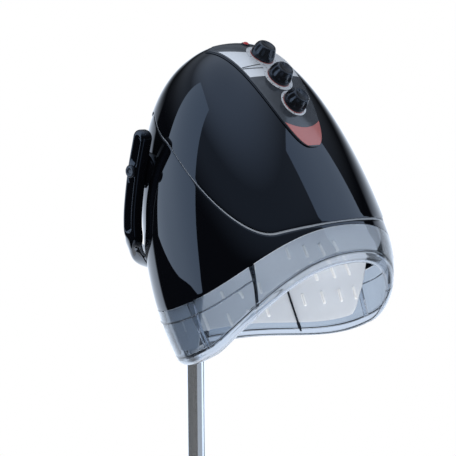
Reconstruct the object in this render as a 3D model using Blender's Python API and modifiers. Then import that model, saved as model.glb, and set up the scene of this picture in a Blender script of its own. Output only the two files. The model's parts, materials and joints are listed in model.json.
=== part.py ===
"""Standing hood dryer: a tilting hood on a yoke, a sliding pole and a five-star castor base.

Metres, +Z up. The hood faces -Y and the wearer's left is +X. The origin lies on the floor
under the middle of the stand's box.
"""
import math

import bmesh
import bpy
from mathutils import Matrix, Vector

OBJECT_NAME = "hood_dryer"

# Facets round turned pieces, bars, holes and the hood, and the distance that joins points
MERGE_DISTANCE = 0.00002
TURN_STEPS = 24
WIDE_TURN_STEPS = 32
ROD_STEPS = 24
HOLE_STEPS = 12
SHARP_ANGLE = math.radians(35.0)

# Clearances
GAP = 0.0003
RUNNING_GAP = 0.0004
SEAM_GAP = 0.0014
VISOR_GAP = 0.0005
VISOR_SPLIT_GAP = 0.0014

# Hood form: an egg with an uneven plan, measured from its widest level
HOOD_HALF_WIDTH = 0.175
HOOD_FRONT = 0.143
HOOD_REAR = 0.166
HOOD_HEIGHT = 0.330
CROWN_POWER = 1.76
CROWN_ROUND = 2.5
CROWN_LEAN = 0.016
PLAN_POWER = 2.35
TAPER_DEPTH = 0.090
SIDE_TAPER = 0.007
FRONT_TAPER = 0.047
REAR_TAPER = 0.010
HOOD_PITCH = math.radians(24.0)
HOOD_STEPS = 40
CAP_ROW_STEPS = 9
SHELL_ROW_STEPS = 8
VISOR_ROW_STEPS = 6
VISOR_FRONT_STEPS = 12
VISOR_REAR_STEPS = 30
RIB_ROW_STEPS = 4
RIB_STEPS = 2
BOWL_ROW_STEPS = 10
PANEL_STEPS = 8
PANEL_ROW_STEPS = 12
GRILLE_STEPS = 8
GRILLE_ROW_STEPS = 4
HEATER_STEPS = 20
LEG_ROW_STEPS = 4

# Edges of the covers and the visor, as heights round the hood
SEAM_FRONT = 0.022
SEAM_REAR_DROP = 0.068
SEAM_START = math.radians(34.0)
SEAM_END = math.radians(118.0)
BRIM_MEAN = -0.004
BRIM_WAVE = 0.021
LIP_MEAN = -0.076
LIP_LEAN = 0.016
LIP_WAVE = 0.026

# Covers
SHELL_WALL = 0.003
CAP_PROUD = 0.0015
GASKET_HALF_HEIGHT = 0.007
GASKET_WALL = 0.002
GASKET_ROW_STEPS = 2
BED_DEPTH = 0.006
BED_LAP = 0.0016

# Visor
VISOR_WALL = 0.0025
VISOR_SPLIT = math.radians(52.0)
LIP_ROLL = 0.007
LIP_CURL = math.radians(120.0)
RIB_ANGLES = (52.0, 92.0, 134.0)
RIB_WIDTH = 0.009
RIB_DEPTH = 0.004
RIB_LAP = 0.018
RIB_LIFT = 0.0105
RIB_SETBACK = 0.0011

# Inner bowl
BOWL_WALL = 0.0022
BOWL_PLENUM = 0.024
BOWL_NECK = 0.070
BOWL_TOP_DROP = 0.124
BOWL_WALL_SHARE = 0.9
BOWL_EDGE_LIFT = 0.006
BOWL_FRONT_LIFT = 0.012
BOWL_CUT_START = math.radians(80.0)
BOWL_CUT_END = math.radians(100.0)
SLOT_LENGTH = 0.020
SLOT_WIDTH = 0.004
SLOT_DEPTH = 0.030
SLOT_PITCH = math.radians(16.0)
SLOT_ROWS = ((-0.036, 7), (0.002, 11), (0.040, 11))

# Control panel, its knobs and what is behind them, with drops measured from the crown
PANEL_TIP_DROP = 0.197
PANEL_TOP_DROP = 0.008
PANEL_HALF_WIDTH = 0.060
PANEL_SWELL = 0.35
PANEL_CROWN_SHARE = 0.9
PANEL_TIP_CROWDING = 1.6
PANEL_WALL = 0.002
KNOB_DROPS = (0.0435, 0.0836, 0.1277)
KNOB_NAMES = ("knob_timer", "knob_heat", "knob_speed")
UNIT_NAMES = ("timer", "thermostat", "speed_switch")
KNOB_RADIUS = 0.0175
KNOB_TOP_RADIUS = 0.0105
KNOB_HEIGHT = 0.019
KNOB_SKIRT = 0.006
KNOB_SEAT = 0.0012
SHAFT_RADIUS = 0.003
SHAFT_GRIP = 0.010
UNIT_RADIUS = 0.013
UNIT_LENGTH = 0.014
UNIT_SETBACK = 0.0022
LAMP_DROP = 0.0145
LAMP_RADIUS = 0.005
LAMP_DOME = 0.004
LAMP_SHOULDER = 0.7
LAMP_SHOULDER_LEVEL = 0.75
LAMP_EDGE_LEVEL = 0.3
LAMP_STEM = 0.0032

# Air side, along the hood's own axis
FAN_AXIS_Y = -0.008
PLATE_RISE = 0.026
PLATE_WALL = 0.003
PLATE_RADIUS = 0.078
FAN_HOLE = 0.055
POST_RADIUS = 0.005
POST_CIRCLE = 0.066
MOUNT_RISE = 0.018
MOUNT_WALL = 0.004
MOUNT_ARM = 0.010
MOUNT_HUB = 0.020
MOTOR_RADIUS = 0.030
MOTOR_HEIGHT = 0.042
MOTOR_SHAFT = 0.003
SHAFT_DROP = 0.005
HUB_RADIUS = 0.014
HUB_DROP = 0.004
HUB_LENGTH = 0.018
BLADE_COUNT = 6
BLADE_TIP = 0.051
BLADE_CHORD = 0.018
BLADE_WALL = 0.002
BLADE_ANGLE = math.radians(35.0)
HEATER_CIRCLE = 0.048
HEATER_TUBE = 0.004
HEATER_DROP = 0.013
HEATER_OPENING = math.radians(40.0)
HEATER_LEG_SPREAD = 0.012
CUTOUT_RADIUS = 0.008
CUTOUT_FLANGE = 0.0105
CUTOUT_HEIGHT = 0.006
CUTOUT_TURN = math.radians(60.0)
BLOCK_SIZE = (0.030, 0.012, 0.015)
GRILLE_HALF_WIDTH = 0.036
GRILLE_DROP = 0.024
GRILLE_TALL = 0.042
GRILLE_WALL = 0.002
GRILLE_LAP = 0.006
GRILLE_SLOTS = 7
GRILLE_SLOT = 0.004

# Yoke and its pivots. Distances behind the hood's axis and above its widest level, level frame
PIVOT_BACK = 0.048
PIVOT_UP = 0.178
BOSS_RADIUS = 0.025
BOSS_DEPTH = 0.016
BOSS_PROUD = 0.008
PIN_RADIUS = 0.006
PIN_HEAD = 0.010
PIN_HEAD_WALL = 0.003
ARM_THICK = 0.020
ARM_WIDE = 0.024
BAR_HIGH = 0.030
SECTION_POINTS = 12
SECTION_POWER = 4.0
NUT_RADIUS = 0.009
NUT_HEIGHT = 0.004
# The yoke's line, each point as far in from the arm, behind the pivot and above the pivot
YOKE_PATH = (
    (0.0, -0.0132, 0.0461),
    (0.0, 0.0, 0.0),
    (0.0, 0.0092, -0.0484),
    (0.0, 0.0112, -0.0770),
    (0.003, 0.0128, -0.0931),
    (0.014, 0.0258, -0.1061),
    (0.035, 0.0438, -0.1211),
    (0.070, 0.0648, -0.1351),
    (0.110, 0.0788, -0.1451),
)
YOKE_REAR_SPREAD = 0.050
YOKE_DROP = 0.149

# Stand
POLE_SETBACK = 0.175
YOKE_BEHIND_POLE = 0.026
HOOD_LEVEL = 1.250
POLE_RADIUS = 0.014
POLE_WALL = 0.0015
POLE_FOOT = 0.520
SOCKET_RADIUS = 0.0185
SOCKET_LENGTH = 0.067
SOCKET_ROOF = 0.008
BRACKET_HALF_WIDTH = 0.022
BRACKET_WALL = 0.009
BRACKET_DROP = 0.075
BOLT_SPREAD = 0.012
BOLT_RADIUS = 0.0025
BOLT_HEAD = 0.005
BOLT_HEAD_WALL = 0.004
BOLT_BITE = 0.012
COLUMN_RADIUS = 0.019
COLUMN_WALL = 0.0022
COLUMN_TOP = 0.800
COLUMN_FLOOR = 0.006
BUSH_LOW = 0.705
BUSH_HIGH = 0.765
GUIDE_LENGTH = 0.028
GUIDE_SPIGOT = 0.020
COLLAR_RADIUS = 0.0265
COLLAR_LOW = 0.768
COLLAR_ROOF = 0.012
CLAMP_LEVEL = 0.786
CLAMP_BOSS = 0.010
CLAMP_REACH = 0.036
CLAMP_SCREW = 0.004
CLAMP_KNOB_RADIUS = 0.018
CLAMP_KNOB_LENGTH = 0.016
GLAND_LEVEL = 0.150
GLAND_RADIUS = 0.008
GLAND_LENGTH = 0.014
GLAND_STEM = 0.005
GLAND_NOSE = 0.7
GLAND_BORE = 0.6

# Base and castors
LEG_COUNT = 5
LEG_REACH = 0.265
LEG_ROOT_WIDE = 0.046
LEG_ROOT_HIGH = 0.034
LEG_TIP_WIDE = 0.034
LEG_TIP_HIGH = 0.022
LEG_ROOT_LEVEL = 0.094
LEG_TIP_LEVEL = 0.077
HUB_BASE_RADIUS = 0.045
HUB_BASE_LOW = 0.070
HUB_BASE_HIGH = 0.114
HUB_FLOOR = 0.016
HUB_RECESS = 0.0086
HUB_RECESS_RADIUS = 0.0125
LEG_SOCKET_RADIUS = 0.019
LEG_SOCKET_LOW = 0.0625
COVER_RADIUS = 0.046
COVER_HEIGHT = 0.016
COVER_CROWN = 0.62
COVER_SHOULDER = 0.85
COVER_SHOULDER_LEVEL = 0.7
COVER_EDGE_LEVEL = 0.25
FOOT_BOLT_RADIUS = 0.005
FOOT_BOLT_HEAD = 0.011
FOOT_BOLT_HEAD_WALL = 0.008
FOOT_BOLT_BITE = 0.016
WHEEL_RADIUS = 0.025
WHEEL_WIDE = 0.014
WHEEL_ROUND = 0.002
AXLE_RADIUS = 0.004
WEB_WALL = 0.010
WEB_RADIUS = 0.012
WEB_RECESS = 0.0003
CASTOR_TRAIL = 0.022
GUARD_GAP = 0.002
GUARD_WALL = 0.003
STEM_RADIUS = 0.0055
STEM_LENGTH = 0.016
STEM_COLLAR = 0.011

# Levels that follow the hood's crown
SEAM_REAR = HOOD_HEIGHT - SEAM_REAR_DROP
PANEL_TIP = HOOD_HEIGHT - PANEL_TIP_DROP
PANEL_TOP = HOOD_HEIGHT - PANEL_TOP_DROP
BOWL_TOP = HOOD_HEIGHT - BOWL_TOP_DROP
PLATE_LEVEL = BOWL_TOP + PLATE_RISE
MOUNT_LEVEL = PLATE_LEVEL + MOUNT_RISE
SHAFT_END = PLATE_LEVEL - SHAFT_DROP
HUB_LOW = PLATE_LEVEL - HUB_DROP
HUB_HIGH = HUB_LOW + HUB_LENGTH
HEATER_LEVEL = PLATE_LEVEL - HEATER_DROP
GRILLE_HIGH = SEAM_REAR - GRILLE_DROP
GRILLE_LOW = GRILLE_HIGH - GRILLE_TALL

# Finishes: colour, roughness, metallic, transmission
GLOSS_BLACK = ((0.006, 0.007, 0.009), 0.08, 0.0, 0.0)
SATIN_BLACK = ((0.012, 0.012, 0.014), 0.38, 0.0, 0.0)
SMOKED_CLEAR = ((0.42, 0.46, 0.52), 0.04, 0.0, 0.9)
PALE_PLASTIC = ((0.55, 0.58, 0.63), 0.4, 0.0, 0.0)
SEAM_GREY = ((0.45, 0.48, 0.53), 0.3, 0.0, 0.0)
PANEL_GREY = ((0.16, 0.18, 0.21), 0.25, 0.3, 0.0)
LAMP_RED = ((0.55, 0.03, 0.03), 0.2, 0.0, 0.0)
CHROME = ((0.75, 0.77, 0.80), 0.07, 1.0, 0.0)
STEEL = ((0.52, 0.53, 0.55), 0.3, 1.0, 0.0)
DARK_RUBBER = ((0.02, 0.02, 0.022), 0.7, 0.0, 0.0)
WHITE_NYLON = ((0.75, 0.75, 0.73), 0.45, 0.0, 0.0)


def clear_scene():
    for item in list(bpy.data.objects):
        bpy.data.objects.remove(item, do_unlink=True)


def add_collection(name):
    group = bpy.data.collections.new(name)
    bpy.context.scene.collection.children.link(group)
    return group


def add_empty(name, parent=None, location=(0, 0, 0), rotation=(0, 0, 0)):
    empty = bpy.data.objects.new(name, None)
    empty.parent = parent
    empty.location = location
    empty.rotation_euler = rotation
    PARTS.objects.link(empty)
    return empty


def paint(item, finish):
    """Give a part its own Principled material."""
    colour, roughness, metallic, transmission = finish
    material = bpy.data.materials.new(item.name + "_finish")
    material.use_nodes = True
    shader = material.node_tree.nodes["Principled BSDF"]
    shader.inputs["Base Color"].default_value = (*colour, 1.0)
    shader.inputs["Roughness"].default_value = roughness
    shader.inputs["Metallic"].default_value = metallic
    shader.inputs["Transmission Weight"].default_value = transmission
    item.data.materials.append(material)


def add_part(name, mesh, finish, parent, location=(0, 0, 0), rotation=(0, 0, 0)):
    mesh.name = name
    mesh.shade_smooth()
    mesh.set_sharp_from_angle(angle=SHARP_ANGLE)
    part = bpy.data.objects.new(name, mesh)
    part.parent = parent
    part.location = location
    part.rotation_euler = rotation
    paint(part, finish)
    PARTS.objects.link(part)
    return part


def add_tool(name, mesh, target):
    """A cutter or a joined form, in its target's own frame."""
    tool = bpy.data.objects.new(name, mesh)
    tool.parent = target
    tool.hide_render = True
    tool.display_type = "WIRE"
    CUTTERS.objects.link(tool)
    return tool


def boolean(target, mesh, operation, name):
    tool = add_tool(target.name + "_" + name, mesh, target)
    modifier = target.modifiers.new(name, "BOOLEAN")
    modifier.operation = operation
    modifier.object = tool


def cut(target, mesh, name):
    boolean(target, mesh, "DIFFERENCE", name)


def join(target, mesh, name):
    boolean(target, mesh, "UNION", name)


def to_mesh(builder):
    mesh = bpy.data.meshes.new("form")
    builder.to_mesh(mesh)
    builder.free()
    return mesh


def box_mesh(low, high):
    builder = bmesh.new()
    bmesh.ops.create_cube(builder, size=1.0)
    low, high = Vector(low), Vector(high)
    bmesh.ops.scale(builder, vec=high - low, verts=builder.verts)
    bmesh.ops.translate(builder, vec=(low + high) / 2, verts=builder.verts)
    return to_mesh(builder)


def rod_mesh(radius, start, end, segments=ROD_STEPS):
    """A plain cylinder between two points."""
    start, end = Vector(start), Vector(end)
    axis = end - start
    turn = axis.to_track_quat("Z", "Y").to_matrix().to_4x4()
    builder = bmesh.new()
    bmesh.ops.create_cone(
        builder, cap_ends=True, segments=segments, radius1=radius, radius2=radius,
        depth=axis.length, matrix=Matrix.Translation((start + end) / 2) @ turn)
    return to_mesh(builder)


def merge_meshes(meshes):
    """Separate bodies gathered in one cutter."""
    builder = bmesh.new()
    for mesh in meshes:
        builder.from_mesh(mesh)
        bpy.data.meshes.remove(mesh)
    return to_mesh(builder)


def turned(name, profile, finish, parent, location=(0, 0, 0), rotation=(0, 0, 0), steps=TURN_STEPS,
           closed=False):
    """A profile of (radius, height) points, top to bottom on its outer side, turned about Z."""
    edges = [(k, k + 1) for k in range(len(profile) - 1)]
    if closed:
        edges.append((len(profile) - 1, 0))
    mesh = bpy.data.meshes.new(name)
    mesh.from_pydata([(radius, 0.0, height) for radius, height in profile], edges, [])
    part = add_part(name, mesh, finish, parent, location, rotation)
    screw = part.modifiers.new("turn", "SCREW")
    screw.steps = steps
    screw.render_steps = steps
    screw.use_merge_vertices = True
    screw.merge_threshold = MERGE_DISTANCE
    return part


def ring(outer, inner, high, low):
    """A closed profile for a plain ring."""
    return [(outer, high), (outer, low), (inner, low), (inner, high)]


def smooth_step(value):
    value = min(1.0, max(0.0, value))
    return value * value * (3.0 - 2.0 * value)


def signed_power(value, power):
    return math.copysign(abs(value) ** power, value)


def crown_scale(height, inset):
    """Share of the full plan that is left at a height above the widest level."""
    rise = min(1.0, height / (HOOD_HEIGHT - inset))
    return (1.0 - rise ** CROWN_POWER) ** (1.0 / CROWN_ROUND)


def hood_radii(height, inset):
    """Half width, front and rear reach of the hood at a height."""
    side = HOOD_HALF_WIDTH - inset
    front = HOOD_FRONT - inset
    rear = HOOD_REAR - inset
    if height >= 0.0:
        scale = crown_scale(height, inset)
        return side * scale, front * scale, rear * scale
    dip = (height / TAPER_DEPTH) ** 2
    return side - SIDE_TAPER * dip, front - FRONT_TAPER * dip, rear - REAR_TAPER * dip


def hood_point(angle, height, inset=0.0):
    """A point of the hood's skin: angle 0 is the front, a positive inset lies inside."""
    side, front, rear = hood_radii(height, inset)
    across = signed_power(math.sin(angle), 2.0 / PLAN_POWER)
    along = signed_power(math.cos(angle), 2.0 / PLAN_POWER)
    reach = front if along > 0.0 else rear
    lean = CROWN_LEAN * (max(0.0, height) / HOOD_HEIGHT) ** 2
    return Vector((side * across, -reach * along - lean, height))


def skin_angle(offset, height, inset):
    """The plan angle at which the skin's front lies a given distance from the centre plane."""
    side = hood_radii(height, inset)[0]
    share = min(1.0, abs(offset) / side)
    return math.copysign(math.asin(share ** (PLAN_POWER / 2.0)), offset)


def side_reach(back, height):
    """The rear half's half width at a distance behind the hood's axis."""
    side, front, rear = hood_radii(height, 0.0)
    lean = CROWN_LEAN * (height / HOOD_HEIGHT) ** 2
    share = (back + lean) / rear
    return side * (1.0 - share ** PLAN_POWER) ** (1.0 / PLAN_POWER)


def seam_height(angle):
    share = smooth_step((abs(angle) - SEAM_START) / (SEAM_END - SEAM_START))
    return SEAM_FRONT + (SEAM_REAR - SEAM_FRONT) * share


def gasket_high(angle):
    return seam_height(angle) + GASKET_HALF_HEIGHT


def gasket_low(angle):
    """Below the seam, and never below the brim where the two edges run close together."""
    strip = seam_height(angle) - brim_height(angle)
    return seam_height(angle) - min(GASKET_HALF_HEIGHT, strip / 2)


def brim_height(angle):
    return BRIM_MEAN + BRIM_WAVE * math.cos(2.0 * angle)


def lip_height(angle):
    return LIP_MEAN + LIP_LEAN * math.cos(angle) + LIP_WAVE * math.cos(2.0 * angle)


def mapped_grid(place, columns, rows):
    """An open surface: a grid whose two shares, 0 to 1, are placed by a function."""
    builder = bmesh.new()
    bmesh.ops.create_grid(builder, x_segments=columns, y_segments=rows, size=1.0)
    for vertex in builder.verts:
        vertex.co = place((vertex.co.x + 1.0) / 2.0, (vertex.co.y + 1.0) / 2.0)
    bmesh.ops.remove_doubles(builder, verts=builder.verts, dist=MERGE_DISTANCE)
    bmesh.ops.triangulate(builder, faces=builder.faces, quad_method="FIXED")
    return to_mesh(builder)


def thicken(part, wall):
    """Give an outer skin its wall, inwards."""
    solid = part.modifiers.new("wall", "SOLIDIFY")
    solid.thickness = wall
    solid.offset = -1.0


def skin_mesh(low, high, rows, inset, start=-math.pi, end=math.pi, columns=HOOD_STEPS, low_hem=None,
              high_hem=None):
    """A band of the hood's skin between two edges, with rows closing up towards the crown.

    A hem gives the height of the row next to its edge.
    """
    top = HOOD_HEIGHT - inset
    first = 1 if low_hem else 0
    last = rows - 1 if high_hem else rows

    def place(share, rise):
        angle = start + (end - start) * share
        row = round(rise * rows)
        if row < first:
            return hood_point(angle, low(angle), inset)
        if row > last:
            return hood_point(angle, high(angle), inset)
        lower = (low_hem or low)(angle)
        upper = (high_hem or high)(angle)
        low_lift = math.asin(lower / top)
        high_lift = math.asin(min(1.0, upper / top))
        height = top * math.sin(low_lift + (high_lift - low_lift) * (row - first) / (last - first))
        return hood_point(angle, height, inset)

    return mapped_grid(place, columns, rows)


def cap_skin(inset):
    return skin_mesh(lambda a: seam_height(a) + SEAM_GAP, lambda a: HOOD_HEIGHT - inset, CAP_ROW_STEPS, inset,
                     low_hem=gasket_high)


def shell_skin(inset):
    return skin_mesh(brim_height, seam_height, SHELL_ROW_STEPS, inset, high_hem=gasket_low)


def bed_on(part, skin):
    """Trim the underside of a trim piece to the faceted cover that it lies on."""
    boolean(part, skin, "DIFFERENCE", "bed")
    thicken(part.modifiers["bed"].object, BED_DEPTH)


def frame_on_crown(height, inset):
    """A point on the hood's front line and the tilt that turns Z to the skin's normal there."""
    step = 0.0005
    point = hood_point(0.0, height, inset)
    slope = hood_point(0.0, height + step, inset) - hood_point(0.0, height - step, inset)
    return point, math.atan2(slope.z, slope.y)


def make_covers():
    """The cap, the rear shell with its pivot bosses, and the gasket behind their seam."""
    cap = add_part("front_cap", cap_skin(-CAP_PROUD), GLOSS_BLACK, HOOD, HOOD_SEAT)
    thicken(cap, SHELL_WALL)

    shell = add_part("rear_shell", shell_skin(0.0), GLOSS_BLACK, HOOD, HOOD_SEAT)
    thicken(shell, SHELL_WALL)
    for side in (-1, 1):
        inner = (side * (BOSS_FACE - BOSS_DEPTH - BOSS_PROUD), PIVOT_BACK, PIVOT_UP)
        outer = (side * BOSS_FACE, PIVOT_BACK, PIVOT_UP)
        past = (side * (BOSS_FACE + PIN_RADIUS), PIVOT_BACK, PIVOT_UP)
        under = (side * (BOSS_FACE - 2 * BOSS_DEPTH - BOSS_PROUD), PIVOT_BACK, PIVOT_UP)
        label = "left" if side > 0 else "right"
        join(shell, rod_mesh(BOSS_RADIUS, inner, outer), "boss_" + label)
        cut(shell, rod_mesh(PIN_RADIUS + RUNNING_GAP, under, past, HOLE_STEPS), "pin_hole_" + label)
    window_half = GRILLE_HALF_WIDTH - GRILLE_LAP
    window_back = hood_point(math.pi, GRILLE_LOW).y
    cut(shell, box_mesh((-window_half, window_back / 2, GRILLE_LOW + GRILLE_LAP),
                        (window_half, window_back * 1.5, GRILLE_HIGH - GRILLE_LAP)), "air_window")

    gasket_inset = SHELL_WALL + GAP
    band = skin_mesh(gasket_low, gasket_high, GASKET_ROW_STEPS, gasket_inset, high_hem=seam_height)
    gasket = add_part("seam_gasket", band, SEAM_GREY, HOOD, HOOD_SEAT)
    thicken(gasket, GASKET_WALL)
    return cap


def visor_mesh(start, end, columns):
    """The visor's outer skin: an upright wall whose lower edge rolls inwards."""
    roll_share = 0.5

    def place(share, rise):
        angle = start + (end - start) * share
        lip = lip_height(angle)
        if rise < roll_share:
            curl = LIP_CURL * (1.0 - rise / roll_share)
            inset = LIP_ROLL * (1.0 - math.cos(curl))
            return hood_point(angle, lip + LIP_ROLL * (1.0 - math.sin(curl)), inset)
        wall_low = lip + LIP_ROLL
        wall_high = brim_height(angle) - VISOR_GAP
        return hood_point(angle, wall_low + (wall_high - wall_low) * (rise - roll_share) / (1.0 - roll_share))

    return mapped_grid(place, columns, VISOR_ROW_STEPS)


def make_visor():
    """The clear ring in two pieces, and the dark ribs that hold it to the covers."""
    half_gap = VISOR_SPLIT_GAP / (2.0 * HOOD_FRONT)
    turn = 2.0 * math.pi
    front_end = VISOR_SPLIT - half_gap
    rear_start = VISOR_SPLIT + half_gap
    front = add_part("visor_front", visor_mesh(-front_end, front_end, VISOR_FRONT_STEPS),
                     SMOKED_CLEAR, HOOD, HOOD_SEAT)
    rear = add_part("visor_rear", visor_mesh(rear_start, turn - rear_start, VISOR_REAR_STEPS),
                    SMOKED_CLEAR, HOOD, HOOD_SEAT)
    thicken(front, VISOR_WALL)
    thicken(rear, VISOR_WALL)
    number = 0
    for side in (-1, 1):
        for degrees in RIB_ANGLES:
            number += 1
            middle = side * math.radians(degrees)
            half = RIB_WIDTH / (2.0 * HOOD_HALF_WIDTH)
            rib = add_part(
                "visor_rib_%d" % number,
                skin_mesh(lambda a: lip_height(a) + RIB_LIFT, lambda a: brim_height(a) + RIB_LAP,
                          RIB_ROW_STEPS, SHELL_WALL + RIB_SETBACK, middle - half, middle + half, RIB_STEPS),
                SATIN_BLACK, HOOD, HOOD_SEAT)
            thicken(rib, RIB_DEPTH)


def bowl_inset(angle, height):
    """The bowl lies against the ribs at its edge and stands off the covers above it."""
    edge = SHELL_WALL + RIB_SETBACK + RIB_DEPTH + GAP
    rise = smooth_step((height - brim_height(angle)) / BOWL_NECK)
    return edge + (BOWL_PLENUM - edge) * rise


def bowl_edge(angle):
    """Low round the neck, and lifted clear of the face at the front."""
    rear = lip_height(angle) + LIP_ROLL + BOWL_EDGE_LIFT
    front = brim_height(angle) + BOWL_FRONT_LIFT
    share = smooth_step((abs(angle) - BOWL_CUT_START) / (BOWL_CUT_END - BOWL_CUT_START))
    return front + (rear - front) * share


def make_bowl():
    """The slotted inner bowl with a flat top."""
    def place(share, rise):
        angle = -math.pi + 2.0 * math.pi * share
        low = bowl_edge(angle)
        height = low + (BOWL_TOP - low) * min(1.0, rise / BOWL_WALL_SHARE)
        point = hood_point(angle, height, bowl_inset(angle, height))
        if rise > BOWL_WALL_SHARE:
            left = (1.0 - rise) / (1.0 - BOWL_WALL_SHARE)
            centre = Vector((0.0, FAN_AXIS_Y, BOWL_TOP))
            return centre + (point - centre) * left
        return point

    liner = mapped_grid(place, HOOD_STEPS, BOWL_ROW_STEPS)
    bowl = add_part("inner_bowl", liner, PALE_PLASTIC, HOOD, HOOD_SEAT)
    thicken(bowl, BOWL_WALL)
    slots = []
    for height, count in SLOT_ROWS:
        for k in range(count):
            angle = math.pi + (k - (count - 1) / 2.0) * SLOT_PITCH
            point = hood_point(angle, height, bowl_inset(angle, height))
            slot = box_mesh((-SLOT_WIDTH / 2, -SLOT_DEPTH / 2, -SLOT_LENGTH / 2),
                            (SLOT_WIDTH / 2, SLOT_DEPTH / 2, SLOT_LENGTH / 2))
            heading = math.atan2(point.x, -point.y)
            slot.transform(Matrix.Translation(point) @ Matrix.Rotation(heading, 4, "Z"))
            slots.append(slot)
    cut(bowl, merge_meshes(slots), "slots")


def make_panel(cap):
    """The leaf-shaped panel, its lamp and knobs, and the control units behind them."""
    inset = -CAP_PROUD - GAP
    face = inset - PANEL_WALL
    low_lift = math.asin(PANEL_TIP / (HOOD_HEIGHT - face))
    high_lift = math.asin(PANEL_TOP / (HOOD_HEIGHT - face))

    def place(share, rise):
        lift = low_lift + (high_lift - low_lift) * rise ** PANEL_TIP_CROWDING
        height = (HOOD_HEIGHT - face) * math.sin(lift)
        swell = max(0.0, (height - PANEL_TIP) / (PANEL_TOP - PANEL_TIP)) ** PANEL_SWELL
        half = min(PANEL_HALF_WIDTH * swell, PANEL_CROWN_SHARE * hood_radii(height, face)[0])
        return hood_point(skin_angle((2.0 * share - 1.0) * half, height, face), height, face)

    leaf = mapped_grid(place, PANEL_STEPS, PANEL_ROW_STEPS)
    panel = add_part("control_panel", leaf, PANEL_GREY, HOOD, HOOD_SEAT)
    thicken(panel, PANEL_WALL + BED_LAP)
    bed_on(panel, cap_skin(inset))

    knob_top = KNOB_SEAT + KNOB_HEIGHT
    cap_under = SHELL_WALL + GAP + PANEL_WALL
    for name, unit, drop in zip(KNOB_NAMES, UNIT_NAMES, KNOB_DROPS):
        point, normal = frame_on_crown(HOOD_HEIGHT - drop, face)
        seat = HOOD_SEAT + point
        tilt = (normal, 0.0, 0.0)
        bore = SHAFT_RADIUS + RUNNING_GAP
        shaft_top = KNOB_SEAT + SHAFT_GRIP
        turned(name, [(0.0, knob_top), (KNOB_TOP_RADIUS, knob_top),
                      (KNOB_RADIUS, KNOB_SEAT + KNOB_SKIRT), (KNOB_RADIUS, KNOB_SEAT),
                      (bore, KNOB_SEAT), (bore, shaft_top + GAP), (0.0, shaft_top + GAP)],
               SATIN_BLACK, HOOD, seat, tilt)
        front = -cap_under - UNIT_SETBACK
        turned(unit, [(0.0, shaft_top), (SHAFT_RADIUS, shaft_top), (SHAFT_RADIUS, front),
                      (UNIT_RADIUS, front), (UNIT_RADIUS, front - UNIT_LENGTH), (0.0, front - UNIT_LENGTH)],
               STEEL, HOOD, seat, tilt, steps=HOLE_STEPS)
        crown_hole(panel, cap, unit, point, normal, bore)

    point, normal = frame_on_crown(HOOD_HEIGHT - LAMP_DROP, face)
    turned("pilot_lamp", [(0.0, LAMP_DOME), (LAMP_RADIUS * LAMP_SHOULDER, LAMP_DOME * LAMP_SHOULDER_LEVEL),
                          (LAMP_RADIUS, LAMP_DOME * LAMP_EDGE_LEVEL), (LAMP_RADIUS, GAP), (LAMP_STEM, GAP),
                          (LAMP_STEM, -2 * cap_under), (0.0, -2 * cap_under)],
           LAMP_RED, HOOD, HOOD_SEAT + point, (normal, 0.0, 0.0), steps=HOLE_STEPS)
    crown_hole(panel, cap, "lamp", point, normal, LAMP_STEM + RUNNING_GAP)


def crown_hole(panel, cap, label, point, normal, radius):
    """One round hole through the panel and the cap under it."""
    axis = Matrix.Rotation(normal, 3, "X") @ Vector((0.0, 0.0, 1.0))
    reach = 4.0 * (SHELL_WALL + PANEL_WALL)
    for part in (panel, cap):
        cut(part, rod_mesh(radius, point - axis * reach, point + axis * reach, HOLE_STEPS), label + "_hole")


def around(radius, turn, height):
    """A point on a circle about the fan's axis."""
    return Vector((radius * math.sin(turn), FAN_AXIS_Y - radius * math.cos(turn), height))


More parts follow.
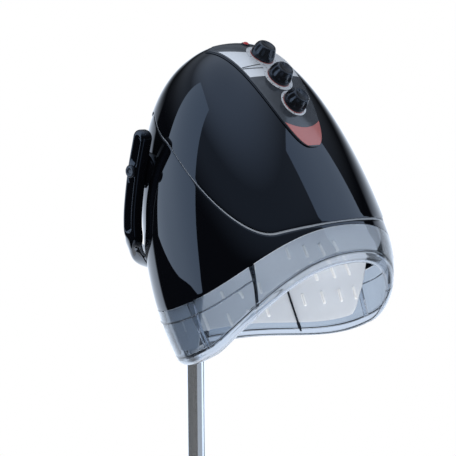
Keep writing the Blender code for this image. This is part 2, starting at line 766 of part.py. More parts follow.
def make_air_side():
    """Fan plate on four posts, motor on its mount, impeller, heater and the small electrics."""
    plate_top = PLATE_LEVEL + PLATE_WALL
    centre = HOOD_SEAT + Vector((0.0, FAN_AXIS_Y, 0.0))
    plate = turned("fan_plate", ring(PLATE_RADIUS, FAN_HOLE, plate_top, PLATE_LEVEL),
                   WHITE_NYLON, HOOD, centre, steps=WIDE_TURN_STEPS, closed=True)
    mount_top = MOUNT_LEVEL + MOUNT_WALL
    mount = add_part("motor_mount", rod_mesh(MOUNT_HUB, (0, 0, MOUNT_LEVEL), (0, 0, mount_top)),
                     STEEL, HOOD, centre)
    offset = Vector((0.0, -FAN_AXIS_Y, 0.0))
    for k in range(4):
        foot = around(POST_CIRCLE, math.pi * (k + 0.5) / 2.0, BOWL_TOP + GAP) + offset
        head = Vector((foot.x, foot.y, PLATE_LEVEL + PLATE_WALL / 2))
        join(plate, rod_mesh(POST_RADIUS, foot, head, HOLE_STEPS), "post_%d" % k)
    for k in range(3):
        turn = 2.0 * math.pi * k / 3.0
        arm = box_mesh((-MOUNT_ARM / 2, -POST_CIRCLE - POST_RADIUS / 2, MOUNT_LEVEL + GAP),
                       (MOUNT_ARM / 2, -MOUNT_HUB / 2, mount_top - GAP))
        arm.transform(Matrix.Rotation(turn, 4, "Z"))
        join(mount, arm, "arm_%d" % k)
        foot = around(POST_CIRCLE, turn, plate_top + GAP) + offset
        head = Vector((foot.x, foot.y, mount_top + GAP))
        join(mount, rod_mesh(POST_RADIUS, foot, head, HOLE_STEPS), "leg_%d" % k)
    bore = MOTOR_SHAFT + RUNNING_GAP
    hole_low = (0, 0, MOUNT_LEVEL - MOUNT_WALL)
    hole_high = (0, 0, mount_top + MOUNT_WALL)
    cut(mount, rod_mesh(bore, hole_low, hole_high, HOLE_STEPS), "shaft_hole")

    seat = mount_top + GAP
    top = seat + MOTOR_HEIGHT
    round_edge = MOTOR_RADIUS / 8
    turned("fan_motor", [(0.0, top), (MOTOR_RADIUS - round_edge, top), (MOTOR_RADIUS, top - round_edge),
                         (MOTOR_RADIUS, seat), (MOTOR_SHAFT, seat), (MOTOR_SHAFT, SHAFT_END),
                         (0.0, SHAFT_END)],
           STEEL, HOOD, centre)
    make_impeller(centre, bore)
    make_heater()

    spot = around(POST_CIRCLE, CUTOUT_TURN, plate_top + GAP)
    flange = CUTOUT_HEIGHT / 4
    turned("thermal_cutout", [(0.0, CUTOUT_HEIGHT), (CUTOUT_RADIUS, CUTOUT_HEIGHT), (CUTOUT_RADIUS, flange),
                              (CUTOUT_FLANGE, flange), (CUTOUT_FLANGE, 0.0), (0.0, 0.0)],
           WHITE_NYLON, HOOD, HOOD_SEAT + spot, steps=HOLE_STEPS)
    wide, deep, tall = BLOCK_SIZE
    block = add_part("terminal_block", box_mesh((-wide / 2, -deep / 2, 0.0), (wide / 2, deep / 2, tall)),
                     WHITE_NYLON, HOOD, HOOD_SEAT + around(POST_CIRCLE, math.pi, plate_top + GAP))
    edge = block.modifiers.new("edges", "BEVEL")
    edge.width = tall / 15
    edge.segments = 1


def make_impeller(centre, bore):
    hub = ring(HUB_RADIUS, bore, HUB_HIGH, HUB_LOW)
    blades = turned("impeller", hub, SATIN_BLACK, HOOD, centre, closed=True)
    middle = (HUB_LOW + HUB_HIGH) / 2
    for k in range(BLADE_COUNT):
        blade = box_mesh((-BLADE_CHORD / 2, (bore + HUB_RADIUS) / 2, -BLADE_WALL / 2),
                         (BLADE_CHORD / 2, BLADE_TIP, BLADE_WALL / 2))
        blade.transform(Matrix.Rotation(2.0 * math.pi * k / BLADE_COUNT, 4, "Z")
                        @ Matrix.Translation((0.0, 0.0, middle)) @ Matrix.Rotation(BLADE_ANGLE, 4, "Y"))
        join(blades, blade, "blade_%d" % k)


def make_heater():
    """An open ring of tube whose two ends turn up to the fan plate."""
    points = []
    rise = PLATE_LEVEL - GAP - HEATER_LEVEL
    for k in range(HEATER_STEPS + 1):
        turn = HEATER_OPENING / 2 + (2.0 * math.pi - HEATER_OPENING) * k / HEATER_STEPS
        points.append(around(HEATER_CIRCLE, turn, HEATER_LEVEL))
    ends = []
    for turn in (HEATER_OPENING / 2, -HEATER_OPENING / 2):
        bent = turn - math.copysign(HEATER_TUBE / HEATER_CIRCLE, turn)
        ends.append([around(HEATER_CIRCLE, bent, HEATER_LEVEL + HEATER_TUBE / 3),
                     around(HEATER_CIRCLE + HEATER_LEG_SPREAD, bent, HEATER_LEVEL + rise / 2),
                     around(HEATER_CIRCLE + HEATER_LEG_SPREAD, bent, HEATER_LEVEL + rise)])
    points = ends[0][::-1] + points + ends[1]
    curve = bpy.data.curves.new("heater_ring", "CURVE")
    curve.dimensions = "3D"
    curve.bevel_depth = HEATER_TUBE
    curve.bevel_resolution = 2
    curve.use_fill_caps = True
    spline = curve.splines.new("POLY")
    spline.points.add(len(points) - 1)
    for spot, point in zip(spline.points, points):
        spot.co = (*point, 1.0)
    drawn = bpy.data.objects.new("heater_path", curve)
    CUTTERS.objects.link(drawn)
    graph = bpy.context.evaluated_depsgraph_get()
    builder = bmesh.new()
    builder.from_mesh(bpy.data.meshes.new_from_object(drawn.evaluated_get(graph)))
    bpy.data.objects.remove(drawn, do_unlink=True)
    bmesh.ops.remove_doubles(builder, verts=builder.verts, dist=MERGE_DISTANCE)
    add_part("heater_ring", to_mesh(builder), STEEL, HOOD, HOOD_SEAT)


def make_grille():
    """The filter grille over the air window at the back."""
    inset = -GAP
    face = inset - GRILLE_WALL

    def place(share, rise):
        height = GRILLE_LOW + (GRILLE_HIGH - GRILLE_LOW) * rise
        offset = (1.0 - 2.0 * share) * GRILLE_HALF_WIDTH
        return hood_point(math.pi - skin_angle(offset, height, face), height, face)

    sheet = mapped_grid(place, GRILLE_STEPS, GRILLE_ROW_STEPS)
    grille = add_part("filter_grille", sheet, SATIN_BLACK, HOOD, HOOD_SEAT)
    thicken(grille, GRILLE_WALL + BED_LAP)
    bed_on(grille, shell_skin(inset))
    back = hood_point(math.pi, GRILLE_LOW).y
    pitch = 2.0 * (GRILLE_HALF_WIDTH - GRILLE_LAP) / GRILLE_SLOTS
    slots = []
    for k in range(GRILLE_SLOTS):
        middle = (k - (GRILLE_SLOTS - 1) / 2.0) * pitch
        slots.append(box_mesh((middle - GRILLE_SLOT / 2, back / 2, GRILLE_LOW + GRILLE_LAP),
                              (middle + GRILLE_SLOT / 2, back * 1.5, GRILLE_HIGH - GRILLE_LAP)))
    cut(grille, merge_meshes(slots), "slots")


def section_ring(centre, across, upward, wide, high):
    """A rounded rectangle of points about a centre."""
    points = []
    for k in range(SECTION_POINTS):
        turn = 2.0 * math.pi * (k + 0.5) / SECTION_POINTS
        a = signed_power(math.cos(turn), 2.0 / SECTION_POWER) * wide / 2
        b = signed_power(math.sin(turn), 2.0 / SECTION_POWER) * high / 2
        points.append(centre + across * a + upward * b)
    return points


def loft(rings):
    """A closed body through rings of equal point counts."""
    builder = bmesh.new()
    loops = [[builder.verts.new(point) for point in points] for points in rings]
    count = len(loops[0])
    for lower, upper in zip(loops, loops[1:]):
        for k in range(count):
            n = (k + 1) % count
            builder.faces.new((lower[k], lower[n], upper[n], upper[k]))
    builder.faces.new(loops[0])
    builder.faces.new(loops[-1])
    bmesh.ops.recalc_face_normals(builder, faces=builder.faces)
    return to_mesh(builder)


def through(points, spans):
    """Points on a smooth curve through the given ones."""
    ends = [points[0] * 2 - points[1]] + list(points) + [points[-1] * 2 - points[-2]]
    path = []
    for a, b, c, d in zip(ends, ends[1:], ends[2:], ends[3:]):
        for k in range(spans):
            t = k / spans
            path.append(0.5 * (2 * b + (c - a) * t + (2 * a - 5 * b + 4 * c - d) * t ** 2
                               + (3 * b - a - 3 * c + d) * t ** 3))
    return path + [points[-1]]


def make_yoke():
    """The fork: two arms with rounded tops, drawn in behind the hood to a low rear bar."""
    half = [Vector((ARM_X - inward, back, up)) for inward, back, up in YOKE_PATH]
    half.append(Vector((0.0, YOKE_REAR, -YOKE_DROP)))
    mirrored = [Vector((-p.x, p.y, p.z)) for p in reversed(half[:-1])]
    path = through(half + mirrored, 2)
    rings = []
    for k, point in enumerate(path):
        ahead = (path[min(k + 1, len(path) - 1)] - path[max(k - 1, 0)]).normalized()
        rear_share = smooth_step((ARM_X - abs(point.x)) / (ARM_X - YOKE_REAR_SPREAD))
        side = math.copysign(1.0 - rear_share, point.x) if rear_share < 1.0 else 0.0
        outward = Vector((side, rear_share, 0.0))
        outward = (outward - ahead * outward.dot(ahead)).normalized()
        wide = ahead.cross(outward)
        height = ARM_WIDE + (BAR_HIGH - ARM_WIDE) * rear_share
        rings.append(section_ring(point, outward, wide, ARM_THICK, height))
        if k in (0, len(path) - 1):
            dome = []
            for degrees in (40.0, 65.0, 80.0):
                lift = math.radians(degrees)
                away = -ahead if k == 0 else ahead
                dome.append(section_ring(point + away * (ARM_WIDE / 2) * math.sin(lift), outward, wide,
                                         ARM_THICK * math.sqrt(math.cos(lift)), ARM_WIDE * math.cos(lift)))
            rings = dome[::-1] + rings if k == 0 else rings + dome
    yoke = add_part("yoke", loft(rings), GLOSS_BLACK, YOKE, PIVOT)
    for side, label in ((-1, "right"), (1, "left")):
        inner = (side * (ARM_X - ARM_THICK), 0, 0)
        outer = (side * (ARM_X + ARM_THICK), 0, 0)
        cut(yoke, rod_mesh(PIN_RADIUS + GAP, inner, outer, HOLE_STEPS), "pin_hole_" + label)
        make_pivot(side, label)
    bar_back = YOKE_REAR + ARM_THICK / 2
    for side, label in ((-1, "1"), (1, "2")):
        spot = Vector((side * BOLT_SPREAD, bar_back, -YOKE_DROP))
        depth = Vector((0.0, BOLT_BITE + GAP, 0.0))
        cut(yoke, rod_mesh(BOLT_RADIUS + GAP, spot - depth, spot + depth, HOLE_STEPS), "bolt_hole_" + label)
    make_socket()


def make_pivot(side, label):
    """One pivot pin with its head inside the hood, and the low cap nut on the arm's outer face."""
    facing = (0.0, side * math.pi / 2, 0.0)
    arm_face = ARM_X + ARM_THICK / 2
    boss_back = BOSS_FACE - BOSS_DEPTH - BOSS_PROUD
    pin_end = arm_face + NUT_HEIGHT / 2
    head = boss_back - GAP
    turned("pivot_pin_" + label, [(0.0, pin_end), (PIN_RADIUS, pin_end), (PIN_RADIUS, head), (PIN_HEAD, head),
                                  (PIN_HEAD, head - PIN_HEAD_WALL), (0.0, head - PIN_HEAD_WALL)],
           STEEL, YOKE, PIVOT, facing, steps=HOLE_STEPS)
    bore = PIN_RADIUS + GAP
    low = arm_face + GAP
    high = low + NUT_HEIGHT
    bevel = NUT_HEIGHT / 3
    turned("pivot_nut_" + label, [(0.0, high), (NUT_RADIUS - bevel, high), (NUT_RADIUS, high - bevel),
                                  (NUT_RADIUS, low), (bore, low), (bore, pin_end + GAP),
                                  (0.0, pin_end + GAP)],
           SATIN_BLACK, YOKE, PIVOT, facing)


def make_socket():
    """A blind barrel over the pole, a shelf behind it and a plate bolted to the yoke's bar."""
    bar_level = PIVOT.z - YOKE_DROP
    front = YOKE_BEHIND_POLE + ARM_THICK / 2 + GAP
    back = front + BRACKET_WALL
    top = bar_level + BAR_HIGH / 2
    shelf_top = bar_level - BRACKET_DROP
    shelf_low = shelf_top - BRACKET_WALL
    roof = shelf_low - SOCKET_ROOF
    bore = POLE_RADIUS + RUNNING_GAP
    barrel_top = shelf_low + BRACKET_WALL / 2
    barrel_low = shelf_low - SOCKET_LENGTH
    socket = turned("swivel_socket", [(0.0, barrel_top), (SOCKET_RADIUS, barrel_top),
                                      (SOCKET_RADIUS, barrel_low), (bore, barrel_low), (bore, roof),
                                      (0.0, roof)], SATIN_BLACK, YOKE)
    outline = [(-SOCKET_RADIUS, shelf_low), (back, shelf_low), (back, top), (front, top), (front, shelf_top),
               (-SOCKET_RADIUS, shelf_top)]
    sides = [[Vector((side * BRACKET_HALF_WIDTH, y, z)) for y, z in outline] for side in (-1, 1)]
    join(socket, loft(sides), "bracket")
    for side, label in ((-1, "1"), (1, "2")):
        spot = Vector((side * BOLT_SPREAD, back, bar_level))
        depth = Vector((0.0, 2 * BRACKET_WALL, 0.0))
        cut(socket, rod_mesh(BOLT_RADIUS + GAP, spot - depth, spot + depth, HOLE_STEPS), "bolt_hole_" + label)
        bite = BRACKET_WALL + GAP + BOLT_BITE
        head = -GAP - BOLT_HEAD_WALL
        turned("yoke_bolt_" + label, [(0.0, bite), (BOLT_RADIUS, bite), (BOLT_RADIUS, -GAP),
                                      (BOLT_HEAD, -GAP), (BOLT_HEAD, head), (0.0, head)],
               STEEL, YOKE, spot, (math.pi / 2, 0.0, 0.0), steps=HOLE_STEPS)
    make_pole(roof - GAP + HOOD_LEVEL)


def make_pole(top):
    """The chrome pole, a tube, with a guide plug in its foot."""
    inner = POLE_RADIUS - POLE_WALL
    turned("upper_pole", ring(POLE_RADIUS, inner, top, POLE_FOOT), CHROME, MAST, closed=True)
    guide = COLUMN_RADIUS - COLUMN_WALL - RUNNING_GAP
    spigot = inner - GAP
    low = POLE_FOOT - GUIDE_LENGTH
    spigot_top = POLE_FOOT + GUIDE_SPIGOT
    shoulder = POLE_FOOT - GAP
    turned("pole_guide", [(0.0, spigot_top), (spigot, spigot_top), (spigot, shoulder), (guide, shoulder),
                          (guide, low), (0.0, low)], WHITE_NYLON, MAST)


def make_column():
    """The column, its bush, the clamp collar with the height knob, and the cable gland."""
    inner = COLUMN_RADIUS - COLUMN_WALL
    foot = HUB_BASE_LOW + HUB_FLOOR + GAP
    floor = foot + COLUMN_FLOOR
    bolt = FOOT_BOLT_RADIUS + GAP
    column = turned("lower_column", [(COLUMN_RADIUS, COLUMN_TOP), (COLUMN_RADIUS, foot), (bolt, foot),
                                     (bolt, floor), (inner, floor), (inner, COLUMN_TOP)],
                    CHROME, STAND, closed=True)
    pole_bore = POLE_RADIUS + RUNNING_GAP
    turned("column_bush", ring(inner - GAP, pole_bore, BUSH_HIGH, BUSH_LOW), WHITE_NYLON, STAND, closed=True)
    under = HUB_BASE_LOW + HUB_RECESS - GAP
    turned("column_bolt", [(0.0, floor + FOOT_BOLT_BITE), (FOOT_BOLT_RADIUS, floor + FOOT_BOLT_BITE),
                           (FOOT_BOLT_RADIUS, under), (FOOT_BOLT_HEAD, under),
                           (FOOT_BOLT_HEAD, under - FOOT_BOLT_HEAD_WALL), (0.0, under - FOOT_BOLT_HEAD_WALL)],
           STEEL, STAND, steps=HOLE_STEPS)

    roof = COLUMN_TOP + GAP
    top = roof + COLLAR_ROOF
    bevel = COLLAR_ROOF / 3
    column_bore = COLUMN_RADIUS + GAP
    collar = turned("height_collar", [(COLLAR_RADIUS - bevel, top), (COLLAR_RADIUS, top - bevel),
                                      (COLLAR_RADIUS, COLLAR_LOW), (column_bore, COLLAR_LOW),
                                      (column_bore, roof), (pole_bore, roof), (pole_bore, top)],
                    SATIN_BLACK, STAND, closed=True)
    screw_hole = CLAMP_SCREW + GAP
    level = Vector((0.0, 0.0, CLAMP_LEVEL))
    rear = Vector((0.0, 1.0, 0.0))
    boss_root = level + rear * (COLUMN_RADIUS + COLLAR_RADIUS) / 2
    join(collar, rod_mesh(CLAMP_BOSS, boss_root, level + rear * CLAMP_REACH), "boss")
    hole_start = level + rear * (POLE_RADIUS / 2)
    hole_end = level + rear * 2 * CLAMP_REACH
    for part in (collar, column):
        cut(part, rod_mesh(screw_hole, hole_start, hole_end, HOLE_STEPS), "screw_hole")
    grip = CLAMP_REACH + GAP
    end = grip + CLAMP_KNOB_LENGTH
    edge = CLAMP_KNOB_LENGTH / 5
    turned("height_knob", [(0.0, end), (CLAMP_KNOB_RADIUS - edge, end), (CLAMP_KNOB_RADIUS, end - edge),
                           (CLAMP_KNOB_RADIUS, grip + edge), (CLAMP_BOSS, grip), (CLAMP_SCREW, grip),
                           (CLAMP_SCREW, POLE_RADIUS + GAP), (0.0, POLE_RADIUS + GAP)],
           SATIN_BLACK, STAND, level, (-math.pi / 2, 0.0, 0.0))

    gland_level = Vector((0.0, 0.0, GLAND_LEVEL))
    seat = COLUMN_RADIUS + GAP
    tip = seat + GLAND_LENGTH
    nose = GLAND_RADIUS * GLAND_NOSE
    gland_bore = GLAND_STEM * GLAND_BORE
    turned("cable_gland", [(nose, tip), (GLAND_RADIUS, seat + GLAND_LENGTH / 2), (GLAND_RADIUS, seat),
                           (GLAND_STEM, seat), (GLAND_STEM, inner), (gland_bore, inner), (gland_bore, tip)],
           SATIN_BLACK, STAND, gland_level, (-math.pi / 2, 0.0, 0.0), steps=HOLE_STEPS, closed=True)
    hole_start = gland_level + rear * inner / 2
    hole_end = gland_level + rear * 2 * COLUMN_RADIUS
    cut(column, rod_mesh(GLAND_STEM + GAP, hole_start, hole_end, HOLE_STEPS), "gland_hole")


def make_base():
    """The five-star base, its cover, and a castor under each leg's end."""
    bolt = FOOT_BOLT_RADIUS + GAP
    bore = COLUMN_RADIUS + GAP
    floor = HUB_BASE_LOW + HUB_FLOOR
    recess = HUB_BASE_LOW + HUB_RECESS
    star = turned("base_star", [(HUB_BASE_RADIUS, HUB_BASE_HIGH), (HUB_BASE_RADIUS, HUB_BASE_LOW),
                                (HUB_RECESS_RADIUS, HUB_BASE_LOW), (HUB_RECESS_RADIUS, recess),
                                (bolt, recess), (bolt, floor), (bore, floor), (bore, HUB_BASE_HIGH)],
                  SATIN_BLACK, STAND, steps=WIDE_TURN_STEPS, closed=True)
    start = (bore + HUB_BASE_RADIUS) / 2
    for k in range(LEG_COUNT):
        heading = -math.pi / 2 + 2.0 * math.pi * k / LEG_COUNT
        outward = Vector((math.cos(heading), math.sin(heading), 0.0))
        across = Vector((-outward.y, outward.x, 0.0))
        rings = []
        for step in range(LEG_ROW_STEPS + 1):
            share = step / LEG_ROW_STEPS
            drop = LEG_ROOT_LEVEL + (LEG_TIP_LEVEL - LEG_ROOT_LEVEL) * smooth_step(share)
            centre = outward * (start + (LEG_REACH - start) * share) + Vector((0.0, 0.0, drop))
            rings.append(section_ring(centre, across, Vector((0.0, 0.0, 1.0)),
                                      LEG_ROOT_WIDE + (LEG_TIP_WIDE - LEG_ROOT_WIDE) * share,
                                      LEG_ROOT_HIGH + (LEG_TIP_HIGH - LEG_ROOT_HIGH) * share))
        join(star, loft(rings), "leg_%d" % k)
        tip = outward * LEG_REACH
        socket_top = LEG_TIP_LEVEL + LEG_TIP_HIGH / 2 + GAP
        upright = Vector((0.0, 0.0, 1.0))
        socket = rod_mesh(LEG_SOCKET_RADIUS, tip + upright * LEG_SOCKET_LOW, tip + upright * socket_top)
        join(star, socket, "socket_%d" % k)
        hole_top = LEG_SOCKET_LOW + STEM_LENGTH + GAP
        hole_low = tip + upright * LEG_SOCKET_LOW / 2
        hole = rod_mesh(STEM_RADIUS + GAP, hole_low, tip + upright * hole_top, HOLE_STEPS)
        cut(star, hole, "stem_hole_%d" % k)
        make_castor(k + 1, tip, heading)
    low = HUB_BASE_HIGH + GAP
    high = low + COVER_HEIGHT
    shoulder = low + COVER_HEIGHT * COVER_SHOULDER_LEVEL
    edge = low + COVER_HEIGHT * COVER_EDGE_LEVEL
    turned("hub_cover", [(bore, high), (COVER_RADIUS * COVER_CROWN, high),
                         (COVER_RADIUS * COVER_SHOULDER, shoulder), (COVER_RADIUS, edge),
                         (COVER_RADIUS, low), (bore, low)],
           GLOSS_BLACK, STAND, closed=True)


def make_castor(number, tip, heading):
    """A twin-wheel castor that trails outwards: a housing on a stem, and a spool of two wheels."""
    axle = Vector((CASTOR_TRAIL, 0.0, WHEEL_RADIUS))
    y_axis = Vector((0.0, 1.0, 0.0))
    guard_inner = WHEEL_RADIUS + GUARD_GAP
    guard_outer = guard_inner + GUARD_WALL
    half_span = WEB_WALL / 2 + RUNNING_GAP + WHEEL_WIDE
    housing = add_part("castor_housing_%d" % number,
                       rod_mesh(guard_outer, axle - y_axis * half_span, axle + y_axis * half_span),
                       SATIN_BLACK, STAND, tip, (0.0, 0.0, heading))
    collar_top = LEG_SOCKET_LOW - GAP
    collar = rod_mesh(STEM_COLLAR, (0, 0, axle.z + WEB_RADIUS), (0, 0, collar_top), HOLE_STEPS)
    join(housing, collar, "collar")
    stem_low = (0, 0, collar_top - STEM_COLLAR / 2)
    stem = rod_mesh(STEM_RADIUS, stem_low, (0, 0, collar_top + STEM_LENGTH), HOLE_STEPS)
    join(housing, stem, "stem")
    for side, label in ((-1, "right"), (1, "left")):
        low = min(side * WEB_WALL / 2, side * 2 * half_span)
        high = max(side * WEB_WALL / 2, side * 2 * half_span)
        room = box_mesh((-guard_outer, low, -guard_outer), (2 * guard_outer, high, axle.z))
        cut(housing, room, "guard_end_" + label)
        inner = axle + y_axis * side * (WEB_WALL / 2 - WEB_RECESS)
        outer = axle + y_axis * side * 2 * half_span
        cut(housing, rod_mesh(guard_inner, inner, outer), "wheel_room_" + label)
    below = axle.z - WEB_RADIUS
    clearing = box_mesh((-guard_outer, -half_span, -guard_outer), (2 * guard_outer, half_span, below))
    cut(housing, clearing, "below")
    reach = y_axis * half_span
    cut(housing, rod_mesh(AXLE_RADIUS + GAP, axle - reach, axle + reach, HOLE_STEPS), "axle_hole")

    inside = WEB_WALL / 2 + RUNNING_GAP
    outside = inside + WHEEL_WIDE
    rim = WHEEL_RADIUS - WHEEL_ROUND
    turned("castor_wheels_%d" % number,
           [(0.0, outside), (rim, outside), (WHEEL_RADIUS, outside - WHEEL_ROUND), (WHEEL_RADIUS, inside),
            (AXLE_RADIUS, inside), (AXLE_RADIUS, -inside), (WHEEL_RADIUS, -inside),
            (WHEEL_RADIUS, -outside + WHEEL_ROUND), (rim, -outside), (0.0, -outside)],
           DARK_RUBBER, housing, axle, (math.pi / 2, 0.0, 0.0))


def centre_on_floor():
    """Move the stand so that the whole box is centred over the origin."""
    bpy.context.view_layer.update()
    graph = bpy.context.evaluated_depsgraph_get()
    corners = []
    for item in PARTS.objects:
        if item.type == "EMPTY":
            continue
        solid = item.evaluated_get(graph)
        mesh = solid.to_mesh()
        corners += [solid.matrix_world @ vertex.co for vertex in mesh.vertices]
        solid.to_mesh_clear()
    for axis in (0, 1):
        values = [corner[axis] for corner in corners]
        STAND.location[axis] -= (min(values) + max(values)) / 2
    bpy.context.view_layer.update()


clear_scene()
PARTS = add_collection(OBJECT_NAME)
CUTTERS = add_collection(OBJECT_NAME + "_cutters")

# Where the pivots lie once the hood is pitched back, seen from the pole's axis
PIVOT = Vector((
    0.0,
    PIVOT_BACK * math.cos(HOOD_PITCH) + PIVOT_UP * math.sin(HOOD_PITCH) - POLE_SETBACK,
    PIVOT_UP * math.cos(HOOD_PITCH) - PIVOT_BACK * math.sin(HOOD_PITCH)))
HOOD_SEAT = Vector((0.0, -PIVOT_BACK, -PIVOT_UP))
BOSS_FACE = side_reach(PIVOT_BACK, PIVOT_UP) + BOSS_PROUD
ARM_X = BOSS_FACE + RUNNING_GAP + ARM_THICK / 2
YOKE_REAR = YOKE_BEHIND_POLE - PIVOT.y

STAND = add_empty("stand")
MAST = add_empty("mast_axis", STAND)
YOKE = add_empty("yoke_axis", MAST, (0.0, 0.0, HOOD_LEVEL))
HOOD = add_empty("tilt_axis", YOKE, PIVOT, (-HOOD_PITCH, 0.0, 0.0))

make_panel(make_covers())
make_visor()
make_bowl()
make_air_side()
make_grille()
make_yoke()
make_column()
make_base()
centre_on_floor()
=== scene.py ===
import json
import math

import bmesh
import bpy
from mathutils import Matrix, Quaternion, Vector


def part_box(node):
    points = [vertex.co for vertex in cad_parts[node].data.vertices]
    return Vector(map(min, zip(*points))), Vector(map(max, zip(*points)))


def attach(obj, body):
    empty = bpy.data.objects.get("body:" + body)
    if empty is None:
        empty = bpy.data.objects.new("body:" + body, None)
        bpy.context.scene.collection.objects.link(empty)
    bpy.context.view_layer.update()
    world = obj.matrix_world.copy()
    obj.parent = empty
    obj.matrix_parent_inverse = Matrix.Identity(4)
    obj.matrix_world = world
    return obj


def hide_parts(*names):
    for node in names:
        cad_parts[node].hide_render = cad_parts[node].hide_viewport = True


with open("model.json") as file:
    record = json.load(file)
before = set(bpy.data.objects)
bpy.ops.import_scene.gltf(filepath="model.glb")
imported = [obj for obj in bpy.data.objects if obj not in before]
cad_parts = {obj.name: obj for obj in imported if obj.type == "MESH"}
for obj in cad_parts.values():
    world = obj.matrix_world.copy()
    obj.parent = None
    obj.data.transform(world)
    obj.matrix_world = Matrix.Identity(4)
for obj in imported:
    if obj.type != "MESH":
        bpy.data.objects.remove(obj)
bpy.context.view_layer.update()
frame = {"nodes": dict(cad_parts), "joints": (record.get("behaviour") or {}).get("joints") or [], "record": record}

bl_info = {
    "name": "Standing hood dryer",
    "version": (1, 0, 0),
    "blender": (4, 5, 0),
    "location": "View3D > Sidebar > Dryer",
    "description": "Dresses the standing hood dryer's solids with finished pieces and materials",
    "category": "Object",
}

# Lengths are in metres. Profiles are rows of (radius, height), with heights from the piece's own seat.

# Shared tolerances, angles and directions
MERGE = 0.00001
GAP = 0.0003
FULL_TURN = 2.0 * math.pi
QUARTER_TURN = math.pi / 2
RIGHT = Vector((1.0, 0.0, 0.0))
BACK = (0.0, 1.0, 0.0)
SECTION_POWER = 4.0

# Steps round turned pieces, degrees from which an edge counts as sharp, and widths of rounded edges
TINY_STEPS = 36
SMALL_STEPS = 48
LEG_SOCKET_STEPS = 60
ROUND_STEPS = 72
LARGE_STEPS = 96
FLUTED_STEPS = 144
FLUTED = 35.0
CRISP = 40.0
CAST = 45.0
ROUNDED = 50.0
LEAF_SHARP = 55.0
BOWL_SHARP = 60.0
COVER_SHARP = 75.0
MARK_BEVEL = 0.0002
FINE_BEVEL = 0.0004
THIN_BEVEL = 0.0005
RIB_BEVEL = 0.0006
BOSS_BEVEL = 0.0008
BOWL_BEVEL = 0.0009
WEB_BEVEL = 0.001
PLATE_BEVEL = 0.002
WINDOW_BEVEL = 0.004

# Hood form: an egg with an uneven plan, measured from its widest level
CROWN_POWER = 1.76
CROWN_ROUND = 2.5
CROWN_LEAN = 0.016
PLAN_POWER = 2.35
TAPER_DEPTH = 0.090
SIDE_TAPER = 0.007
FRONT_TAPER = 0.047
REAR_TAPER = 0.010
PIVOT_BACK = 0.048
PIVOT_UP = 0.178
BOSS_PROUD = 0.008
BOSS_RADIUS = 0.025
BOSS_DEPTH = 0.022

# Covers: their grids and rolled edges
HOOD_COLUMNS = 180
CAP_ROWS = 78
SHELL_ROWS = 50
SEAL_ROWS = 6
EDGE_ROWS = 6
EDGE_SLANT = 1.6
CAP_ROLL = 0.0012
SHELL_ROLL = 0.0026

# Edges of the covers and the visor, as heights round the hood
SEAM_FRONT = 0.022
SEAM_REAR_DROP = 0.068
SEAM_START = math.radians(34.0)
SEAM_END = math.radians(118.0)
BRIM_MEAN = -0.004
BRIM_WAVE = 0.021
LIP_MEAN = -0.076
LIP_LEAN = 0.016
LIP_WAVE = 0.026
SEAM_GAP = 0.0014
CAP_PROUD = 0.0015
SEAL_LAP = 0.007
SEAL_INSET = 0.0009
SEAL_WALL = 0.0035
WINDOW_HALF = Vector((0.030, 0.05, 0.015))

# Visor: its rows up from the lip and down from the brim, and its ribs
VISOR_SPLIT = math.radians(52.0)
VISOR_SPLIT_HALF = 0.0049
VISOR_BEAD = 0.0010
VISOR_FRONT_COLUMNS = 72
VISOR_REAR_COLUMNS = 168
LIP_ROLL = 0.007
LIP_CURL = math.radians(120.0)
LIP_CURL_STEPS = 10
LIP_ROWS = 11
LIP_GROOVE = ((0.0112, 0.0), (0.0117, 0.0008), (0.0127, 0.0008), (0.0132, 0.0))
WALL_LIFT = 0.0145
WALL_DROP = 0.0215
WALL_STEPS = 5
BRIM_ROWS = ((0.0200, 0.0), (0.0194, 1.0), (0.0180, 1.0), (0.0174, 0.0), (0.009, 0.0), (0.0008, 0.0))
# LINE_ sizes place a thin dark strip inside the visor: painted shade for the dark line at the lip's inner edge
LINE_LIFT = 0.0116
LINE_TALL = 0.0012
LINE_INSET = 0.00055
LINE_WALL = 0.0009
LINE_ROWS = 2
RIB_ANGLES = (52.0, 92.0, 134.0)
RIB_HALF = 0.0030
RIB_FLARE = 0.0022
RIB_FLARE_RATE = 1.6
RIB_FLARE_START = 0.5
RIB_GRID = (4, 24)
RIB_INSET = 0.0041
RIB_DEPTH = 0.004
RIB_LAP = 0.018
RIB_LIFT = 0.0105
CLIP_HALF = 0.0019
CLIP_LOW = 0.006
CLIP_TALL = 0.066
CLIP_PROUD = 0.0014
CLIP_GRID = (4, 20)

# Bowl
BOWL_PLENUM = 0.024
BOWL_NECK = 0.070
BOWL_TOP_DROP = 0.124
BOWL_EDGE = 0.021
BOWL_FRONT_LIFT = 0.012
BOWL_CUT_START = math.radians(80.0)
BOWL_CUT_END = math.radians(100.0)
BOWL_WALL_SHARE = 0.86
BOWL_GRID = (160, 50)
SLOT_LEVELS = (-0.036, 0.002, 0.040)
SLOT_TURNS = (6.0, 18.0, 30.0, 54.0, 66.0, 77.0, 86.0)
SLOT_LEVEL_TURN = 54.0
SLOT_DROP = 0.00053
SLOT_STEP = 0.002
SLOT_WIDE = 0.0014
SLOT_SHORT = 0.002
SLOT_THROUGH = 0.03
MOUTH_WIDE = 0.0054
MOUTH_LIFT = 0.0018
MOUTH_LONG = 0.001
MOUTH_HOLE = 0.0008
HOLE_SHORT = 0.004
MOUTH_ROUND = 0.46
FAN_AXIS_Y = -0.008

